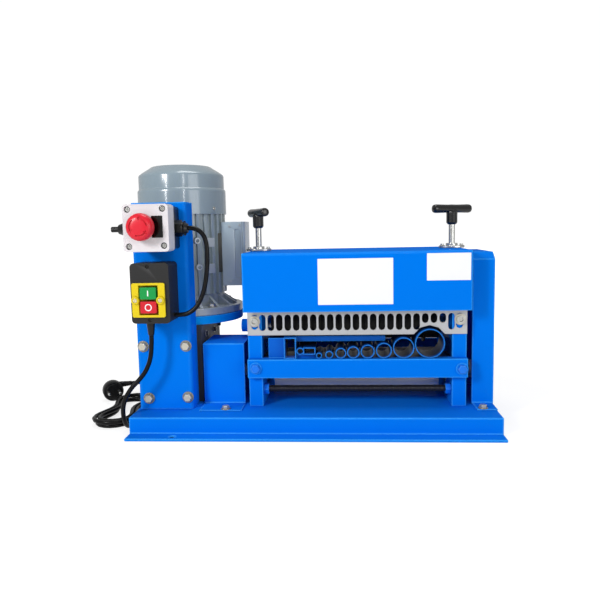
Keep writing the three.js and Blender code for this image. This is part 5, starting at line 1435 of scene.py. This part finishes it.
    def _cowl(self) -> None:
        """Makes the pressed fan cowl, with a bead at its step and slots in its crown."""
        wall, outer, crown = self.cowl_wall, self.cowl_radius, self.crown_radius
        low, step, shoulder, top = self.cowl_low, self.cowl_step, self.cowl_shoulder, self.cowl_top
        upper = outer - self.cowl_inset
        slope, rise = upper - 1.4 - crown, top - 1.5 - shoulder
        outside = [(outer, low), (outer, step - 6), (outer - 0.1, step - 3.4), (outer - 0.9, step - 1.5),
                   (outer - 2.0, step - 0.6), (upper, step), (upper, shoulder - 3), (upper - 0.3, shoulder - 1.2),
                   (upper - 1.4, shoulder + 0.5),
                   *((crown + slope * (1 - s) + 1.2 * math.sin(math.pi * s), shoulder + 0.5 + rise * s)
                     for s in (0.25, 0.5, 0.75)),
                   (crown + 1.0, top - 0.8), (crown - 1.4, top - 0.1), (crown - 3, top), (0, top)]
        inside = [(0, top - wall), (crown - 2, top - wall), (upper - wall - 1, shoulder - 1),
                  (upper - wall, step - wall), (outer - wall, step - 3 * wall), (outer - wall, low), (outer, low)]
        shell = Shape().turned([*outside, *inside], Axis.Z, (*self.motor, 0), 96)
        slots, half = Shape(), self.slot_half
        for index in range(self.slots):
            loop = rounded(*self.slot_reach, -half, half, self.slot_corner, 5)
            slots.add(Shape().slab([loop], Axis.Z, top - 8, top + 5), self.turned(360 * index / self.slots))
        mesh = self.bench.cut(shell.data("cowl"), slots)
        self.bench.piece("fan_cowl_dressed", mesh, MOTOR_GREY, nodes=("fan_cowl",), angle=30.0)

    def _frame_details(self) -> None:
        """Makes pads, lifting lugs, the bare nameplate, webs of the lower bell and the bolts."""
        pads, half = Shape(), self.pad_half
        for low, high in self.pads:
            loop = rounded(-half, half, low, high, 1.2, 3)
            pad = Shape().slab([loop], Axis.X, self.pad_start, self.fin_radius + self.pad_rise)
            pads.add(pad, self.turned(self.pad_angle))
        for angle, z in self.lugs:
            pads.add(Shape().turned(self.lug_ring, Axis.X, sides=28), self.turned(angle, z))
        self.bench.piece("frame_pads", pads, PAD, bevel=0.5)
        plate = Shape().slab([rounded(*self.nameplate, 1.5, 4)], Axis.X, *self.nameplate_faces)
        self.bench.piece("bare_nameplate", plate.moved(self.turned(self.nameplate_angle)), NAMEPLATE, bevel=0.2)
        webs = [(self.around(angle, self.web_radius, self.rim_top - 0.2), (0, 0, angle)) for angle in self.webs]
        self.bench.set_out("lower_bell_webs", Pattern.WEB, webs, SHADE_GREY)
        rim = [(self.around(angle, self.rim_radius, self.rim_top), UP) for angle in self.rim_bolts]
        self.bench.set_out("rim_bolts", Pattern.HEX_BOLT, rim, BRIGHT, 0.9, WASHER)
        cowl = [(self.around(angle, self.cowl_radius - 0.1, self.cowl_screw_z), (0, 90, angle))
                for angle in self.cowl_screws]
        self.bench.set_out("cowl_screws", Pattern.CROSS_SCREW, cowl, BRIGHT, 1.2)

    def _terminal_box(self) -> None:
        """Makes the terminal box, with a shallow panel, the joint of its lid and small screws."""
        y = self.box_front
        groove = Shape().slab([rounded(*self.box_panel, 4.0)], Axis.Y, y - self.cut_start, y + self.panel_depth)
        groove.slab([rounded(*self.box_joint, 0.2, 2)], Axis.Y, y - self.cut_start, y + self.joint_depth)
        self.bench.refined("terminal_box", BOX_GREY, 1.6, holes=groove)
        self.bench.set_out("terminal_box_screws", Pattern.CROSS_SCREW, on_face(self.box_screws, y), PAD, 0.9)


@dataclass
class Switchgear(Assembly):
    """Column with the emergency stop station and the switch box."""

    column_face: float = -95.0
    column_bolts: Pairs = ((-266.5, 129.9), (-198.6, 130.1), (-260.8, 46.5), (-198.2, 48.2))
    lid_face: float = -162.3
    lid_screws: Pairs = ((-258.6, 340.8), (-207.6, 341.2), (-258.0, 287.8), (-207.0, 288.6))
    well_start: float = -5.0
    well_radius: float = 4.6
    well_depth: float = 4.0
    legend: Sides = (-223.9, -207.7, 300.0, 331.2)
    legend_depth: float = 0.8
    cap_spot: Pair = (-235.88, 315.36)
    cap_radius: float = 19.6
    cap_under: float = -172.3
    cap_height: float = 15.0
    cap_steps: int = 20
    dome: float = 9.0
    stem: float = 8.0
    stem_end: float = -145.6
    arrows: tuple[int, ...] = (10, 130, 250)
    arrow_radii: Pair = (13.4, 11.4)
    arrow_head: Point = (15.2, 12.4, 9.6)
    arrow_bend: int = 70
    arrow_tip: int = 86
    arrow_step: int = 7
    arrow_depth: float = 2.6
    gland: Point = (-187.9, -114.0, 313.0)
    rib_radius: float = 9.5
    ribs: int = 20
    bezel_face: float = -148.3
    ears: Pairs = ((-257.2, 208.5), (-219.6, 208.5))
    ear_profile: Pairs = ((0, 0), (6.2, 0), (6.2, -2.6), (5.4, -3.8), (3.6, -3.8), (3.2, -2), (0, -2))
    ear_screw: float = 1.9
    box_face: float = -145.3
    box_screws: Pairs = ((-238.4, 257.8), (-237.6, 178.6))
    box_well_radius: float = 3.1
    box_well_depth: float = 2.4
    key_face: float = -150.3
    key_x: float = -238.0
    key_z: Pair = (218.9, 198.1)
    mark_reach: Pair = (-0.16, 0.2)
    bar_half: Pair = (0.85, 4.2)
    ring_radii: Pair = (5.3, 3.8)

    def build(self) -> None:
        """Makes the pieces."""
        self.refined(("column", AZURE, 0.9))
        self.bench.set_out("column_bolts", Pattern.HEX_BOLT, on_face(self.column_bolts, self.column_face), ZINC,
                           under=WASHER)
        self._station()
        self._cap()
        self._switch()

    def _wells(self, spots: Sequence[Pair], face: float, radius: float, depth: float, sides: int) -> Shape:
        """Draws the wells of screws.

        Args:
            spots: X and Z of each.
            face: Where the face lies.
            radius: Radius of a well.
            depth: Its depth.
            sides: Number of sides.

        Returns:
            What the wells take away.
        """
        wells = Shape()
        for x, z in spots:
            wells.rod(radius, self.well_start, depth, Axis.Y, (x, face, z), sides)
        return wells

    def _station(self) -> None:
        """Makes the stop station: a dark base with a ribbed gland and a pale lid with sunk screws."""
        face = self.lid_face
        self.refined(("stop_station_base", BLACK, 0.7))
        wells = self._wells(self.lid_screws, face, self.well_radius, self.well_depth, 28)
        self.bench.refined("stop_station_lid", LID, 1.3, holes=wells)
        self.bench.set_out("lid_screws", Pattern.CROSS_SCREW, on_face(self.lid_screws, face + self.well_depth),
                           BRIGHT, 1.3)
        legend = Shape().slab([rounded(*self.legend, 0.8)], Axis.Y, face - self.legend_depth, face)
        self.bench.piece("bare_legend_plate", legend, LEGEND, bevel=0.15)
        self.refined(("stop_plunger", BLACK, 0.5, Body.PLUNGER))
        x, y, z = self.gland
        ribs = [((x, *around(y, z, self.rib_radius, 90 + angle)), (angle, 0.0, 0.0))
                for angle in (360.0 * index / self.ribs for index in range(self.ribs))]
        self.bench.set_out("gland_ribs", Pattern.RIB, ribs, BLACK)

    def _cap(self) -> None:
        """Makes the mushroom cap, with three turning arrows sunk in its dome."""
        x, z = self.cap_spot
        face, under, radius = self.cap_under - self.cap_height, self.cap_under, self.cap_radius
        profile = [(0.0, face)]
        for share in (step / self.cap_steps for step in range(1, self.cap_steps + 1)):
            profile.append((radius * math.sqrt(share), face + self.dome * (1 - math.sqrt(1 - share ** 2))))
        profile += [(radius, under - 0.8), (radius - 0.8, under), (self.stem, under), (self.stem, self.stem_end),
                    (0, self.stem_end)]
        cap = Shape().turned(profile, Axis.Y, (x, 0, z), 96)
        arrows = Shape()
        (outer, inner), bend, step = self.arrow_radii, self.arrow_bend, self.arrow_step
        rows = [*((outer, angle) for angle in range(0, bend + 1, step)),
                *zip(self.arrow_head, (bend, self.arrow_tip, bend)),
                *((inner, angle) for angle in range(bend, -1, -step))]
        for start in self.arrows:
            arrow = [around(x, z, reach, start + angle) for reach, angle in rows]
            arrows.slab([arrow], Axis.Y, face - 2, face + self.arrow_depth)
        mesh = self.bench.cut(cap.data("cap"), arrows)
        self.bench.piece("stop_cap_dressed", mesh, RED, Body.CAP, ("stop_cap",), angle=30.0)

    def _switch(self) -> None:
        """Makes the switch box with its yellow bezel, two keys and their marks."""
        wells = self._wells(self.box_screws, self.box_face, self.box_well_radius, self.box_well_depth, 24)
        self.bench.refined("switch_box", CHARCOAL, 1.4, holes=wells)
        self.refined(("mains_gland", BLACK, 0.3))
        self.bench.set_out("box_screws", Pattern.CROSS_SCREW,
                           on_face(self.box_screws, self.box_face + self.box_well_depth), BLACK)
        self.refined(("switch_bezel", YELLOW, 0.8))
        ears = Shape()
        for x, z in self.ears:
            ears.turned(self.ear_profile, Axis.Y, (x, self.bezel_face, z), 32)
        self.bench.piece("bezel_ears", ears, YELLOW)
        self.bench.set_out("bezel_screws", Pattern.CROSS_SCREW, on_face(self.ears, self.bezel_face - self.ear_screw),
                           BRASS, 1.2)
        self.refined(("start_button", GREEN, 0.6, Body.START), ("stop_button", RED_KEY, 0.6, Body.STOP))
        x, (start_z, stop_z), (wide, high) = self.key_x, self.key_z, self.bar_half
        bar = [rounded(x - wide, x + wide, start_z - high, start_z + high, 0.3, 2)]
        ring = [circle(x, stop_z, radius, 40) for radius in self.ring_radii]
        for name, loops, body in (("start_mark", bar, Body.START), ("stop_mark", ring, Body.STOP)):
            mark = Shape().slab(loops, Axis.Y, *(self.key_face + reach for reach in self.mark_reach))
            self.bench.piece(name, mark, MARK, body)


def main() -> None:
    """Builds the studio and the machine."""
    logging.basicConfig(level=logging.INFO, format="%(message)s")
    Studio().build()
    bench = Workshop()
    for group in (Stand, BladeHead, Covers, Drive, Switchgear, MainsLead, LinkLead):
        group(bench).build()
    log.info("%d pieces", bench.count)


if __name__ == "__main__":
    main()
